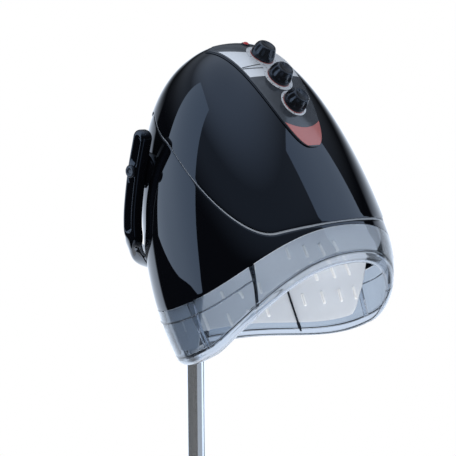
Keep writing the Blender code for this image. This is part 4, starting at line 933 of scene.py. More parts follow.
class DRYER_OT_covers(bpy.types.Operator):
    """Make the front cap, the rear shell with its pivot bosses, and the seal behind their seam"""
    bl_idname = "dryer.covers"
    bl_label = "Covers"

    def execute(self, context):
        form, sizes = hood_of(context)
        cap = hood_band("front_cap_skin", form, lambda angle: form.seam_height(angle) + SEAM_GAP,
                        lambda angle: form.height + CAP_PROUD, CAP_ROWS, -CAP_PROUD, low_roll=CAP_ROLL)
        thicken(cap, sizes.cover_wall)
        soften(cap, FINE_BEVEL, angle=COVER_SHARP)
        dress(cap, "gloss_black", "hood", "gloss_black", "front_cap")

        shell = hood_band("rear_shell_skin", form, brim_height, form.seam_height, SHELL_ROWS, 0.0,
                          high_roll=SHELL_ROLL)
        thicken(shell, sizes.cover_wall)
        soften(shell, THIN_BEVEL, angle=COVER_SHARP)
        low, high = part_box("filter_grille")
        window = block("window_cutter", -WINDOW_HALF, WINDOW_HALF, WINDOW_BEVEL)
        window.data.transform(Matrix.Translation((low + high) / 2) @ Matrix.Rotation(-sizes.pitch, 4, "X"))
        cut_out(shell, window)
        pivot = joint_spot("hood_tilt")
        face = form.boss_face()
        parts = [shell]
        for side in (-1, 1):
            boss = lathe("boss", [(0.0, face), (BOSS_RADIUS - 0.004, face), (BOSS_RADIUS - 0.003, face - 0.0012),
                                  (BOSS_RADIUS, face - 0.002), (BOSS_RADIUS, face - BOSS_DEPTH),
                                  (0.0, face - BOSS_DEPTH)],
                         Matrix.Translation((0.0, pivot.y, pivot.z)) @ Matrix.Rotation(side * QUARTER_TURN, 4, "Y"))
            soften(boss, BOSS_BEVEL)
            parts.append(boss)
        dress(gather("rear_shell_skin", parts), "gloss_black", "hood", "gloss_black", "rear_shell")

        def low_edge(angle):
            seam = form.seam_height(angle)
            return seam - min(SEAL_LAP, (seam - brim_height(angle)) / 2)

        # Set close behind the gap, the pale seal also paints the seam's highlight line
        seal = hood_band("seam_seal", form, low_edge, lambda angle: form.seam_height(angle) + SEAL_LAP, SEAL_ROWS,
                         SEAL_INSET)
        thicken(seal, SEAL_WALL)
        dress(seal, "seam_grey", "hood", "seam_grey", "seam_gasket")
        return {"FINISHED"}


class DRYER_OT_visor(bpy.types.Operator):
    """Make the clear visor's two pieces, with a rolled lip and a bead, and the ribs at its joints"""
    bl_idname = "dryer.visor"
    bl_label = "Visor"

    def profile(self, angle, bead):
        """Heights and insets up the visor's wall at one angle."""
        lip, brim = lip_height(angle), brim_height(angle)
        rows = []
        for k in range(LIP_CURL_STEPS + 1):
            curl = LIP_CURL * (1.0 - k / LIP_CURL_STEPS)
            rows.append((lip + LIP_ROLL * (1.0 - math.sin(curl)), LIP_ROLL * (1.0 - math.cos(curl))))
        rows += [(lip + lift, inset) for lift, inset in LIP_GROOVE]
        start, stop = lip + WALL_LIFT, brim - WALL_DROP
        rows += [(start + (stop - start) * k / WALL_STEPS, 0.0) for k in range(WALL_STEPS + 1)]
        return rows + [(brim - drop, -bead * share) for drop, share in BRIM_ROWS]

    def skin(self, form, sizes, name, start, end, columns, bead):
        """One piece of the visor, with a paler lip and a dark strip along it that paints the shade seen at the lip's
        inner edge.
        """
        count = len(self.profile(0.0, bead)) - 1

        def lay(share, rise):
            angle = blend(start, end, share)
            height, inset = self.profile(angle, bead)[round(rise * count)]
            return form.point(angle, height, inset)

        def lay_line(share, rise):
            angle = blend(start, end, share)
            return form.point(angle, lip_height(angle) + LINE_LIFT + LINE_TALL * rise, LINE_INSET)

        skin = sheet(name + "_skin", columns, count, lay)
        thicken(skin, sizes.visor_wall)
        dress(skin, "smoked_clear", "hood", "smoked_clear", name, angle=ROUNDED)
        skin.data.materials.append(finish_of("lip_clear"))
        spread_map = skin.data.uv_layers[0].data
        for face in skin.data.polygons:
            rises = [spread_map[loop].uv.y for loop in face.loop_indices]
            face.material_index = 1 if sum(rises) / len(rises) < LIP_ROWS / count else 0
        # A dark strip inside the wall paints the shade seen at the lip's inner edge
        line = sheet(name + "_line", columns, LINE_ROWS, lay_line)
        thicken(line, LINE_WALL)
        dress(line, "line_dark", "hood", "smoked_clear")

    def rib(self, form, name, middle):
        def lay(share, rise):
            half = (RIB_HALF + RIB_FLARE * smooth_step(rise * RIB_FLARE_RATE - RIB_FLARE_START)) / form.side
            angle = middle + (2.0 * share - 1.0) * half
            return form.point(angle, blend(lip_height(angle) + RIB_LIFT, brim_height(angle) + RIB_LAP, rise), RIB_INSET)

        strip = sheet(name, *RIB_GRID, lay)
        thicken(strip, RIB_DEPTH)
        soften(strip, RIB_BEVEL)
        return strip

    def clip(self, form, sizes, middle):
        """The part of a rear rib that runs up the bowl's inner face."""
        def lay(share, rise):
            angle = middle + (2.0 * share - 1.0) * CLIP_HALF / form.side
            height = lip_height(angle) + CLIP_LOW + CLIP_TALL * rise
            return form.bowl_point(angle, height, sizes.bowl_wall + CLIP_PROUD)

        strip = sheet("rib_clip", *CLIP_GRID, lay)
        thicken(strip, CLIP_PROUD)
        soften(strip, FINE_BEVEL)
        return strip

    def execute(self, context):
        form, sizes = hood_of(context)
        self.skin(form, sizes, "visor_front", -VISOR_SPLIT + VISOR_SPLIT_HALF, VISOR_SPLIT - VISOR_SPLIT_HALF,
                  VISOR_FRONT_COLUMNS, 0.0)
        self.skin(form, sizes, "visor_rear", VISOR_SPLIT + VISOR_SPLIT_HALF,
                  FULL_TURN - VISOR_SPLIT - VISOR_SPLIT_HALF, VISOR_REAR_COLUMNS, VISOR_BEAD)
        spots = [(side, degrees) for side in (-1, 1) for degrees in RIB_ANGLES]
        for number, (side, degrees) in enumerate(spots, 1):
            middle = side * math.radians(degrees)
            rib = self.rib(form, "rib_%d" % number, middle)
            if degrees == RIB_ANGLES[-1]:
                rib = gather(rib.name, [rib, self.clip(form, sizes, middle)])
            dress(rib, "lip_clear" if degrees == RIB_ANGLES[1] else "satin_black", "hood", "satin_black",
                  "visor_rib_%d" % number)
        return {"FINISHED"}


class DRYER_OT_bowl(bpy.types.Operator):
    """Make the pale inner bowl with its air slots and their raised mouths"""
    bl_idname = "dryer.bowl"
    bl_label = "Inner bowl"

    def slot_seats(self, form):
        """Where each slot lies on the bowl's inner face, Z up the bowl and Y into the head space."""
        seats = []
        turns = [side * turn for turn in SLOT_TURNS for side in (-1.0, 1.0)]
        for level, turn in [(level, turn) for level in SLOT_LEVELS for turn in turns]:
            angle = math.pi + math.radians(turn)
            angle -= FULL_TURN if angle > math.pi else 0.0
            height = level - SLOT_DROP * max(0.0, abs(turn) - SLOT_LEVEL_TURN)
            spot = form.bowl_point(angle, height)
            up = (form.bowl_point(angle, height + SLOT_STEP) - spot).normalized()
            inward = up.cross(form.bowl_point(angle + SLOT_STEP, height) - spot).normalized()
            if inward.dot(form.seat @ Vector((0.0, 0.0, height)) - spot) < 0.0:
                inward = -inward
            seats.append(Matrix.Translation(spot) @ Matrix((inward.cross(up), inward, up)).transposed().to_4x4())
        return seats

    def mouth(self, length, width, depth, lift):
        """One slot's form: a cube drawn out to a bar with rounded edges."""
        half = Vector((width, depth, length)) / 2
        offset = Vector((0.0, lift, 0.0))
        bar = block("slot_form", offset - half, offset + half, 0.0)
        soften(bar, width * MOUTH_ROUND, 4)
        return bar

    def copies(self, form, source, name):
        pieces = []
        for seat in self.slot_seats(form):
            pick(source)
            bpy.ops.object.duplicate()
            copy = named(name)
            copy.data.transform(seat)
            pieces.append(copy)
        bpy.data.objects.remove(source, do_unlink=True)
        return gather(name, pieces)

    def execute(self, context):
        form, sizes = hood_of(context)
        top = form.height - BOWL_TOP_DROP
        centre = Vector((0.0, FAN_AXIS_Y, top))

        def lay(share, rise):
            angle = -math.pi + FULL_TURN * share
            height = blend(bowl_edge(angle), top, min(1.0, rise / BOWL_WALL_SHARE))
            point = form.local(angle, height, bowl_inset(angle, height))
            if rise > BOWL_WALL_SHARE:
                point = blend(centre, point, (1.0 - rise) / (1.0 - BOWL_WALL_SHARE))
            return form.seat @ point

        bowl = sheet("inner_bowl_skin", *BOWL_GRID, lay)
        thicken(bowl, sizes.bowl_wall)
        soften(bowl, BOWL_BEVEL, angle=BOWL_SHARP)
        slot = self.mouth(sizes.slot_length - SLOT_SHORT, SLOT_WIDE, SLOT_THROUGH, 0.0)
        cut_out(bowl, self.copies(form, slot, "slot_cutters"))
        dress(bowl, "pale_plastic", "hood", "pale_plastic", "inner_bowl")

        # The mouths' near-white paints the light seen through the slots
        lip = self.mouth(sizes.slot_length + MOUTH_LONG, MOUTH_WIDE, MOUTH_WIDE, MOUTH_LIFT)
        cut_out(lip, self.mouth(sizes.slot_length - HOLE_SHORT, MOUTH_HOLE, SLOT_THROUGH, 0.0))
        dress(self.copies(form, lip, "slot_mouths"), "slot_white", "hood", "pale_plastic")
        return {"FINISHED"}


class DRYER_OT_strip(bpy.types.Operator):
    """Make the leaf-shaped control strip with its rim, dial plates, ticks, red tip and pilot lamp"""
    bl_idname = "dryer.strip"
    bl_label = "Control strip"

    def leaf(self, form, name, grow, lift, wall, low=None, high=None):
        """A leaf-shaped sheet on the hood's front, grown outwards and lifted off the strip's face."""
        crown = form.height + CAP_PROUD
        low_lift = math.asin((form.tip if low is None else low) / crown)
        high_lift = math.asin((form.top if high is None else high) / crown)

        def lay(share, rise):
            height = crown * math.sin(blend(low_lift, high_lift, rise ** STRIP_TIP_CROWDING))
            half = form.strip_half(height)
            across = 2.0 * share - 1.0
            drop = 0.0 if high is None else FIELD_SAG * (1.0 - across ** 2) * rise ** 2
            return form.strip_point(across * (half + grow * smooth_step(half / LEAF_FULL_HALF)), height - drop, lift)

        piece = sheet(name, *LEAF_GRID, lay)
        thicken(piece, wall)
        soften(piece, THIN_BEVEL, angle=LEAF_SHARP)
        smooth(piece)
        return piece

    def dial(self, form, name, height, inner, outer, lift, start=0.0, end=FULL_TURN, columns=DIAL_COLUMNS,
             wall=DIAL_WALL):
        """A ring or tick that follows the strip's face round a knob."""
        slope = form.crown_frame(height).to_3x3() @ Vector(BACK)
        rise = (form.seat.to_3x3().inverted() @ slope).z

        def lay(share, across):
            turn = blend(start, end, share)
            radius = blend(outer, inner, across)
            spot = height + radius * math.cos(turn) * rise
            return form.strip_point(radius * math.sin(turn), min(spot, form.height - CROWN_MARGIN), lift)

        piece = sheet(name, columns, DIAL_ROWS, lay)
        thicken(piece, wall)
        smooth(piece)
        return piece

    def rule(self, form, side, level, slant):
        """A thin line across the scale's field, beside the knobs."""
        def lay(share, rise):
            height = form.height - level - slant * share + RULE_TALL * rise
            reach = RULE_START + (form.strip_half(height) - RULE_SHORT) * share
            return form.strip_point(side * reach, height, RULE_LIFT)

        piece = sheet("scale_rule", *RULE_GRID, lay, True)
        thicken(piece, RULE_WALL)
        return piece

    def execute(self, context):
        form, sizes = hood_of(context)
        strip = self.leaf(form, "strip_face", 0.0, 0.0, STRIP_WALL)
        dress(strip, "strip_graphite", "hood", "panel", "control_panel", angle=None)
        rim = self.leaf(form, "strip_rim", *RIM_LEAF)
        dress(rim, "gloss_black", "hood", "gloss_black", angle=None)
        field = self.leaf(form, "tip_field", *TIP_LEAF, *[form.tip + rise for rise in TIP_SPAN])
        dress(field, "tip_red", "hood", "panel", angle=None)
        plates, ticks, rings = [], [], []
        radius = sizes.knob_radius
        for drop, margin in zip(KNOB_DROPS, DIAL_MARGINS):
            height = form.height - drop
            outer = radius + margin
            plates.append(self.dial(form, "dial_plate", height, PLATE_INNER, outer, PLATE_LIFT))
            rings.append(self.dial(form, "base_ring", height, radius - RING_INSIDE, radius + RING_OUTSIDE,
                                   RING_LIFT))
            for k in range(TICK_COUNT):
                middle = math.radians(TICK_START + TICK_STEP * k)
                ticks.append(self.dial(form, "dial_tick", height, outer - TICK_INNER, outer - TICK_OUTER, TICK_LIFT,
                                       middle - TICK_HALF, middle + TICK_HALF, TICK_COLUMNS, TICK_WALL))
        plates.append(self.leaf(form, "scale_field", *SCALE_LEAF, *[form.height - drop for drop in SCALE_SPAN]))
        dress(gather("dial_plates", plates), "dial_silver", "hood", "panel", angle=None)
        ticks += [self.rule(form, side, level, slant) for side in (-1.0, 1.0) for level, slant in RULES]
        dress(gather("dial_ticks", ticks), "satin_black", "hood", "panel", angle=None)
        dress(gather("base_rings", rings), "tip_red", "hood", "panel", angle=None)
        seat = form.crown_frame(form.height - LAMP_DROP)
        dress(lathe("lamp_lens", LENS_PROFILE, seat, SMALL_STEPS), "lamp_red", "hood", "lamp_red", "pilot_lamp")
        dress(lathe("lamp_bezel", BEZEL_PROFILE, seat, SMALL_STEPS, True), "satin_black", "hood", "satin_black")
        return {"FINISHED"}


class DRYER_OT_knobs(bpy.types.Operator):
    """Make the three fluted control knobs"""
    bl_idname = "dryer.knobs"
    bl_label = "Control knobs"

    def execute(self, context):
        form, sizes = hood_of(context)
        base, top = sizes.knob_radius, sizes.knob_radius * KNOB_TOP_SHARE
        high = KNOB_CLEAR + sizes.knob_height
        (low_end, low_fade), (high_end, high_fade) = FLUTE_LOW, FLUTE_HIGH
        out_power, up_power = FLANK_POWERS
        edge = Vector((0.0, top, high))

        def flute(co):
            radius = math.hypot(co.x, co.y)
            share = smooth_step((co.z - low_end) / low_fade) * smooth_step((high - high_end - co.z) / high_fade)
            if radius < top or share <= 0.0:
                return co
            dip = 0.5 + 0.5 * math.cos(KNOB_FLUTES * math.atan2(co.y, co.x))
            scale = 1.0 - FLUTE_DEPTH * share * dip / radius
            return Vector((co.x * scale, co.y * scale, co.z))

        turns = [QUARTER_TURN * k / KNOB_STEPS for k in range(KNOB_STEPS + 1)]
        flank = [(top + (base - top) * math.cos(turn) ** out_power,
                  KNOB_SKIRT + (high - KNOB_SKIRT) * math.sin(turn) ** up_power) for turn in turns]
        profile = [(0.0, high - 0.0004), (top - 0.0018, high - 0.0004), (top - 0.0012, high)] + flank[::-1]
        profile += [(base, 0.0016), (base - 0.0004, KNOB_CLEAR), (0.0, KNOB_CLEAR)]
        for (name, body), drop in zip(KNOBS, KNOB_DROPS):
            grip = lathe(name + "_grip", profile, Matrix.Identity(4), FLUTED_STEPS, shape=flute)
            mark = block("pointer", edge + MARK_LOW, edge + MARK_HIGH, MARK_BEVEL)
            knob = gather(name + "_grip", [grip, mark])
            knob.data.transform(form.crown_frame(form.height - drop))
            dress(knob, "satin_black", body, "satin_black", name, angle=FLUTED)
        return {"FINISHED"}


def through(points, spans):
    """Points on a smooth curve through the given ones."""
    ends = [points[0] * 2 - points[1]] + list(points) + [points[-1] * 2 - points[-2]]
    path = []
    for a, b, c, d in zip(ends, ends[1:], ends[2:], ends[3:]):
        for k in range(spans):
            t = k / spans
            path.append(0.5 * (2 * b + (c - a) * t + (2 * a - 5 * b + 4 * c - d) * t ** 2
                               + (3 * b - a - 3 * c + d) * t ** 3))
    return path + [points[-1]]


class DRYER_OT_yoke(bpy.types.Operator):
    """Make the yoke with its pocketed arms, the pivot pins and nuts, and the bracket on the pole"""
    bl_idname = "dryer.yoke"
    bl_label = "Yoke and bracket"

    def rings(self, rear):
        """Centre, outward direction, across direction, thickness and width along the yoke."""
        half = [Vector((ARM_X - inward, back, up)) for inward, back, up in YOKE_PATH]
        half.append(Vector((0.0, rear, -YOKE_DROP)))
        path = through(half + [Vector((-p.x, p.y, p.z)) for p in reversed(half[:-1])], YOKE_SPANS)
        rings = []
        for k, point in enumerate(path):
            ahead = (path[min(k + 1, len(path) - 1)] - path[max(k - 1, 0)]).normalized()
            share = smooth_step((ARM_X - abs(point.x)) / (ARM_X - YOKE_REAR_SPREAD))
            outward = Vector((math.copysign(1.0 - share, point.x) if share < 1.0 else 0.0, share, 0.0))
            outward = (outward - ahead * outward.dot(ahead)).normalized()
            across = ahead.cross(outward)
            rings.append((point, outward, across, ARM_THICK, blend(ARM_WIDE, BAR_HIGH, share)))
            if k in (0, len(path) - 1):
                away = -ahead if k == 0 else ahead
                dome = []
                for step in range(1, ARM_DOME_STEPS + 1):
                    lift = QUARTER_TURN * step / ARM_DOME_STEPS
                    close = max(0.0, math.cos(lift))
                    dome.append((point + away * (ARM_WIDE / 2) * math.sin(lift), outward, across,
                                 ARM_THICK * math.sqrt(close), ARM_WIDE * close))
                rings = dome[::-1] + rings if k == 0 else rings + dome
        return rings

    def fork(self, pivot, rear, depth):
        """The yoke itself."""
        rings = self.rings(rear)

        def pocket(point, offset):
            """How deep the arm's outer face is sunk at a point of it."""
            if abs(point.x) < ARM_X - POCKET_ARM_REACH:
                return 0.0
            past = max(0.0, point.z - POCKET_TOP, POCKET_BOTTOM - point.z)
            edge = smooth_step((POCKET_HALF - math.hypot(offset, past)) / POCKET_FADE)
            island = smooth_step((math.hypot(offset, point.z) - ISLAND_RADIUS) / ISLAND_FADE)
            return (depth + POCKET_LEAN * offset) * edge * island

        def lay(share, rise):
            point, outward, across, thick, wide = rings[round(rise * (len(rings) - 1))]
            a, b = section(share, thick, wide)
            if a > 0.0:
                a -= pocket(point, b)
            return pivot + point + outward * a + across * b

        return sheet("yoke_fork", FORK_COLUMNS, len(rings) - 1, lay, True)

    def bracket(self, pole, bar):
        """The socket on the pole's top, with a shelf, a plate and a web that carry the yoke."""
        low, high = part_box("swivel_socket")
        front = pole.y + YOKE_BEHIND_POLE + ARM_THICK / 2 + GAP
        shelf = bar - SHELF_DROP
        barrel = [(0.0144, low.z), (0.0168, low.z), (SOCKET_RADIUS, low.z + 0.0018), (SOCKET_RADIUS, low.z + 0.006),
                  (0.0176, low.z + 0.007), (0.0176, low.z + 0.009), (SOCKET_RADIUS, low.z + 0.010),
                  (SOCKET_RADIUS, shelf - 0.002), (0.0165, shelf), (0.0, shelf), (0.0, shelf - 0.017),
                  (0.0144, shelf - 0.017)]
        return gather("pole_bracket", [
            lathe("barrel", barrel, Matrix.Translation((pole.x, pole.y, 0.0)), closed=True),
            block("shelf", (-SHELF_HALF, pole.y - SOCKET_RADIUS, shelf - SHELF_WALL), (SHELF_HALF, high.y, shelf),
                  PLATE_BEVEL),
            block("plate", (-SHELF_HALF, front, shelf - SHELF_WALL), (SHELF_HALF, high.y, high.z), PLATE_BEVEL),
            block("web", (-WEB_HALF, pole.y + 0.012, shelf - 0.034), (WEB_HALF, high.y - 0.001, shelf - 0.004),
                  WEB_BEVEL)])

    def execute(self, context):
        form = hood_of(context)[0]
        pivot, pole = joint_spot("hood_tilt"), joint_spot("mast_slide")
        fork = self.fork(pivot, YOKE_BEHIND_POLE + pole.y - pivot.y, context.scene.dryer_stand.pocket_depth)
        dress(fork, "gloss_black", "yoke_frame", "coated_aluminium", "yoke", angle=ROUNDED)
        face = ARM_X + ARM_THICK / 2
        back = form.boss_face() - PIN_BACK
        pin_profile = [(0.0, face), (0.006, face), (0.006, back), (0.010, back - 0.0003), (0.010, back - 0.0033),
                       (0.0, back - 0.0033)]
        for side, label in ((-1, "right"), (1, "left")):
            seat = Matrix.Translation(pivot) @ Matrix.Rotation(side * QUARTER_TURN, 4, "Y")
            nut = lathe("cap_nut_" + label, raised(NUT_PROFILE, face), seat)
            soften(nut, FINE_BEVEL)
            dress(nut, "satin_black", "yoke_frame", "satin_black", "pivot_nut_" + label)
            pin = lathe("pin_" + label, pin_profile, seat, SMALL_STEPS)
            soften(pin, FINE_BEVEL)
            dress(pin, "steel", "yoke_frame", "steel", "pivot_pin_" + label)
        bar = pivot.z - YOKE_DROP
        dress(self.bracket(pole, bar), "coated_casting", "yoke_frame", "coated_aluminium", "swivel_socket")
        for number, side in ((1, -1), (2, 1)):
            seat = seat_on((side * SCREW_APART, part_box("swivel_socket")[1].y, bar), BACK)
            dress(lathe("cap_screw_%d" % number, SCREW_PROFILE, seat, TINY_STEPS), "steel", "yoke_frame", "steel",
                  "yoke_bolt_%d" % number)
        return {"FINISHED"}


class DRYER_OT_column(bpy.types.Operator):
    """Make the sliding pole, the column, its clamp collar with the height knob, and the cable gland"""
    bl_idname = "dryer.column"
    bl_label = "Pole and column"

    def tube(self, name, node, seat, radius, wall, edge):
        low, high = [corner.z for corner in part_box(node)]
        return lathe(name, [(radius - edge, high), (radius, high - edge), (radius, low + edge), (radius - edge, low),
                            (radius - wall, low), (radius - wall, high)], seat, LARGE_STEPS, True)

    def lobes(self, co):
        radius = math.hypot(co.x, co.y)
        dip = (0.5 + 0.5 * math.cos(GRIP_LOBES * math.atan2(co.y, co.x))) ** LOBE_POWER
        scale = 1.0 - LOBE_DEPTH * smooth_step((radius - LOBE_START) / LOBE_FADE) * dip / max(radius, MERGE)
        return Vector((co.x * scale, co.y * scale, co.z))

    def execute(self, context):
        stand = context.scene.dryer_stand
        axis = joint_spot("mast_slide")
        seat = Matrix.Translation((axis.x, axis.y, 0.0))
        pole = self.tube("pole_tube", "upper_pole", seat, stand.pole_radius, POLE_WALL, POLE_EDGE)
        dress(pole, "chrome", "mast", "chrome", "upper_pole")
        column = self.tube("column_tube", "lower_column", seat, stand.column_radius, COLUMN_WALL, COLUMN_EDGE)
        dress(column, "chrome", "base", "chrome", "lower_column")

        low, high = [corner.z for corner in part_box("height_collar")]
        outer, inner, bore = COLLAR_RADIUS, stand.column_radius + GAP, stand.pole_radius + COLLAR_PLAY
        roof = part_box("lower_column")[1].z + GAP
        ring = lathe("collar_ring", [(bore, high - 0.001), (bore + 0.001, high), (outer - 0.005, high),
                                     (outer - 0.0015, high - 0.0025), (outer, high - 0.006), (outer, low + 0.008),
                                     (outer - 0.0009, low + 0.0072), (outer - 0.0009, low + 0.0058),
                                     (outer, low + 0.005), (outer, low + 0.001), (outer - 0.001, low), (inner, low),
                                     (inner, roof), (bore, roof)], seat, LARGE_STEPS, True)
        screw_seat = seat_on((axis.x, axis.y, joint_spot("height_screw_turn").z), BACK)
        boss = lathe("collar_boss", COLLAR_BOSS_PROFILE, screw_seat, SMALL_STEPS, True)
        collar = gather("clamp_collar", [ring, boss])
        dress(collar, "satin_black", "base", "satin_black", "height_collar")
        grip = lathe("height_grip", GRIP_PROFILE, screw_seat, FLUTED_STEPS, shape=self.lobes)
        dress(grip, "satin_black", "height_screw", "satin_black", "height_knob", angle=FLUTED)

        low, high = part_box("cable_gland")
        gland = lathe("gland", GLAND_PROFILE, seat_on((axis.x, axis.y, (low.z + high.z) / 2), BACK), TINY_STEPS, True)
        dress(gland, "satin_black", "base", "satin_black", "cable_gland")
        return {"FINISHED"}


class DRYER_OT_base(bpy.types.Operator):
    """Make the five-legged base and its hub cover"""
    bl_idname = "dryer.base"
    bl_label = "Base"

    def leg(self, axis, tip, start):
        """One tapered leg from the hub to its castor socket."""
        reach = (tip - axis).length
        outward = (tip - axis).normalized()
        side = Vector((-outward.y, outward.x, 0.0))
        rows = LEG_ROWS + 2 * LEG_CLOSING_ROWS
        closing = rows // LEG_CLOSING_ROWS

        def lay(share, rise):
            row = min(1.0, max(0.0, (rise * rows - LEG_CLOSING_ROWS) / LEG_ROWS))
            close = min(1.0, rise * closing, (1.0 - rise) * closing)
            a, b = section(share, blend(*LEG_WIDE, row) * close, blend(*LEG_HIGH, row) * close)
            centre = axis + outward * blend(start, reach, row)
            return Vector((centre.x, centre.y, blend(*LEG_LEVEL, smooth_step(row)))) + side * a + Vector((0.0, 0.0, b))

        return sheet("leg", LEG_COLUMNS, rows, lay, True)

    def execute(self, context):
        stand = context.scene.dryer_stand
        spot = joint_spot("mast_slide")
        axis = Vector((spot.x, spot.y, 0.0))
        seat = Matrix.Translation(axis)
        low, high = HUB_LOW, HUB_HIGH
        bore = stand.column_radius + GAP
        radius = stand.hub_radius
        parts = [lathe("hub", [(radius - 0.002, high), (radius, high - 0.002), (radius, low + 0.003),
                               (radius - 0.003, low), (0.0125, low), (0.0125, low + 0.0086), (0.0053, low + 0.0086),
                               (0.0053, low + 0.016), (bore, low + 0.016), (bore, high)], seat, LARGE_STEPS, True)]
        for number in range(1, LEG_COUNT + 1):
            tip = joint_spot("castor_swivel_%d" % number)
            tip.z = 0.0
            parts.append(self.leg(axis, tip, radius * LEG_START_SHARE))
            parts.append(lathe("leg_socket", LEG_SOCKET_PROFILE, Matrix.Translation(tip), LEG_SOCKET_STEPS))
        dress(gather("star_base", parts), "coated_casting", "base", "coated_aluminium", "base_star", angle=CAST)
        low = high + GAP
        profile = [(bore, low + 0.0150), (bore + 0.001, low + 0.016)] + raised(HUB_COVER_PROFILE, low) + [(bore, low)]
        cap = lathe("hub_cap", profile, seat, LARGE_STEPS, True)
        dress(cap, "gloss_black", "base", "gloss_black", "hub_cover", angle=ROUNDED)
        return {"FINISHED"}


class DRYER_OT_castors(bpy.types.Operator):
    """Make the five twin-wheel castors"""
    bl_idname = "dryer.castors"
    bl_label = "Castors"

    def guard(self, radius, half):
        """The arched wall of the guard over both wheels."""
        inner = radius + GUARD_CLEAR
        outer = radius + GUARD_CLEAR + GUARD_WALL
        edge = [(inner, half - 0.0005), (outer - 0.0012, half), (outer, half - 0.0014)]
        loop = edge + [(outer, 0.0)] + [(reach, -across) for reach, across in reversed(edge)] + [(inner, 0.0), edge[0]]

        def lay(share, rise):
            turn = math.radians(GUARD_START + GUARD_SWEEP * rise)
            reach, across = loop[round(share * (len(loop) - 1))]
            return Vector((reach * math.cos(turn), across, reach * math.sin(turn)))

        arch = sheet("arch", len(loop) - 1, GUARD_ROWS, lay, True)
        pick(arch)
        bpy.ops.object.mode_set(mode="EDIT")
        bpy.ops.mesh.select_all(action="DESELECT")
        bpy.ops.mesh.select_non_manifold()
        bpy.ops.mesh.edge_face_add()
        bpy.ops.mesh.select_all(action="SELECT")
        bpy.ops.mesh.normals_make_consistent(inside=False)
        bpy.ops.object.mode_set(mode="OBJECT")
        return arch

    def web(self, radius):
        """The disc between the wheels, cut off flat below."""
        reach = radius + CASTOR_WEB_OVER
        disc = lathe("web_disc", [(AXLE_BORE, CASTOR_WEB), (reach, CASTOR_WEB), (reach, -CASTOR_WEB),
                                  (AXLE_BORE, -CASTOR_WEB)], Matrix.Rotation(QUARTER_TURN, 4, "X"), closed=True)
        for vertex in disc.data.vertices:
            vertex.co.z = max(vertex.co.z, CASTOR_FLOOR)
        return disc

    def execute(self, context):
        stand = context.scene.dryer_stand
        radius = stand.wheel_radius
        near = CASTOR_WEB + CASTOR_PLAY
        far = near + stand.wheel_width
        side = [(0.0, far - 0.0015), (0.0060, far - 0.0015), (0.0070, far - 0.0003), (0.0090, far - 0.0003),
                (0.0100, far - 0.0018), (0.0185, far - 0.0018), (0.0195, far - 0.0004), (radius - 0.0030, far),
                (radius - 0.0010, far - 0.0006), (radius, far - 0.0025), (radius, near + 0.0020),
                (radius - 0.0008, near + 0.0006), (radius - 0.0025, near), (0.004, near)]
        tread = side + [(reach, -height) for reach, height in reversed(side)]
        for number in range(1, LEG_COUNT + 1):
            tip = joint_spot("castor_swivel_%d" % number)
            hub = joint_spot("wheel_roll_%d" % number)
            heading = math.atan2(hub.y - tip.y, hub.x - tip.x)
            turn = Matrix.Translation(hub) @ Matrix.Rotation(heading, 4, "Z")
            arch = self.guard(radius, far)
            arch.data.transform(turn)
            disc = self.web(radius)
            disc.data.transform(turn)
            stem = lathe("castor_stem", STEM_PROFILE, Matrix.Translation((tip.x, tip.y, 0.0)), SMALL_STEPS)
            housing = gather("castor_hood_%d" % number, [arch, disc, stem])
            dress(housing, "satin_black", "castor_%d" % number, "satin_black", "castor_housing_%d" % number)
            wheels = lathe("wheel_pair_%d" % number, tread, turn @ Matrix.Rotation(QUARTER_TURN, 4, "X"), LARGE_STEPS)
            dress(wheels, "wheel_rubber", "wheels_%d" % number, "wheel_rubber", "castor_wheels_%d" % number)
        return {"FINISHED"}


class DRYER_OT_grille(bpy.types.Operator):
    """Make the filter grille over the air window at the back"""
    bl_idname = "dryer.grille"
    bl_label = "Filter grille"

    def execute(self, context):
        form = hood_of(context)[0]
        high = form.height - SEAM_REAR_DROP - GRILLE_DROP
        low = high - GRILLE_TALL
        pitch = 2.0 * (GRILLE_HALF - GRILLE_LAP) / GRILLE_SLOTS

        def strip(left, right, bottom, top, grid):
            def lay(share, rise):
                height = blend(bottom, top, rise)
                angle = form.skin_angle(blend(right, left, share), height, GRILLE_INSET)
                return form.point(math.pi - angle, height, GRILLE_INSET)
            return sheet("grille_bar", *grid, lay)

        def bar(left, right):
            return strip(left, right, low + GRILLE_LAP, high - GRILLE_LAP, GRILLE_BAR_GRID)

        pieces = [strip(-GRILLE_HALF, GRILLE_HALF, low, low + GRILLE_LAP, GRILLE_FRAME_GRID),
                  strip(-GRILLE_HALF, GRILLE_HALF, high - GRILLE_LAP, high, GRILLE_FRAME_GRID)]
        left = -GRILLE_HALF
        for k in range(GRILLE_SLOTS):
            middle = -GRILLE_HALF + GRILLE_LAP + (k + 0.5) * pitch
            pieces.append(bar(left, middle - GRILLE_SLOT_HALF))
            left = middle + GRILLE_SLOT_HALF
        pieces.append(bar(left, GRILLE_HALF))
        for piece in pieces:
            thicken(piece, GRILLE_WALL)
            soften(piece, THIN_BEVEL)
        dress(gather("intake_grille", pieces), "satin_black", "hood", "satin_black", "filter_grille")
        return {"FINISHED"}


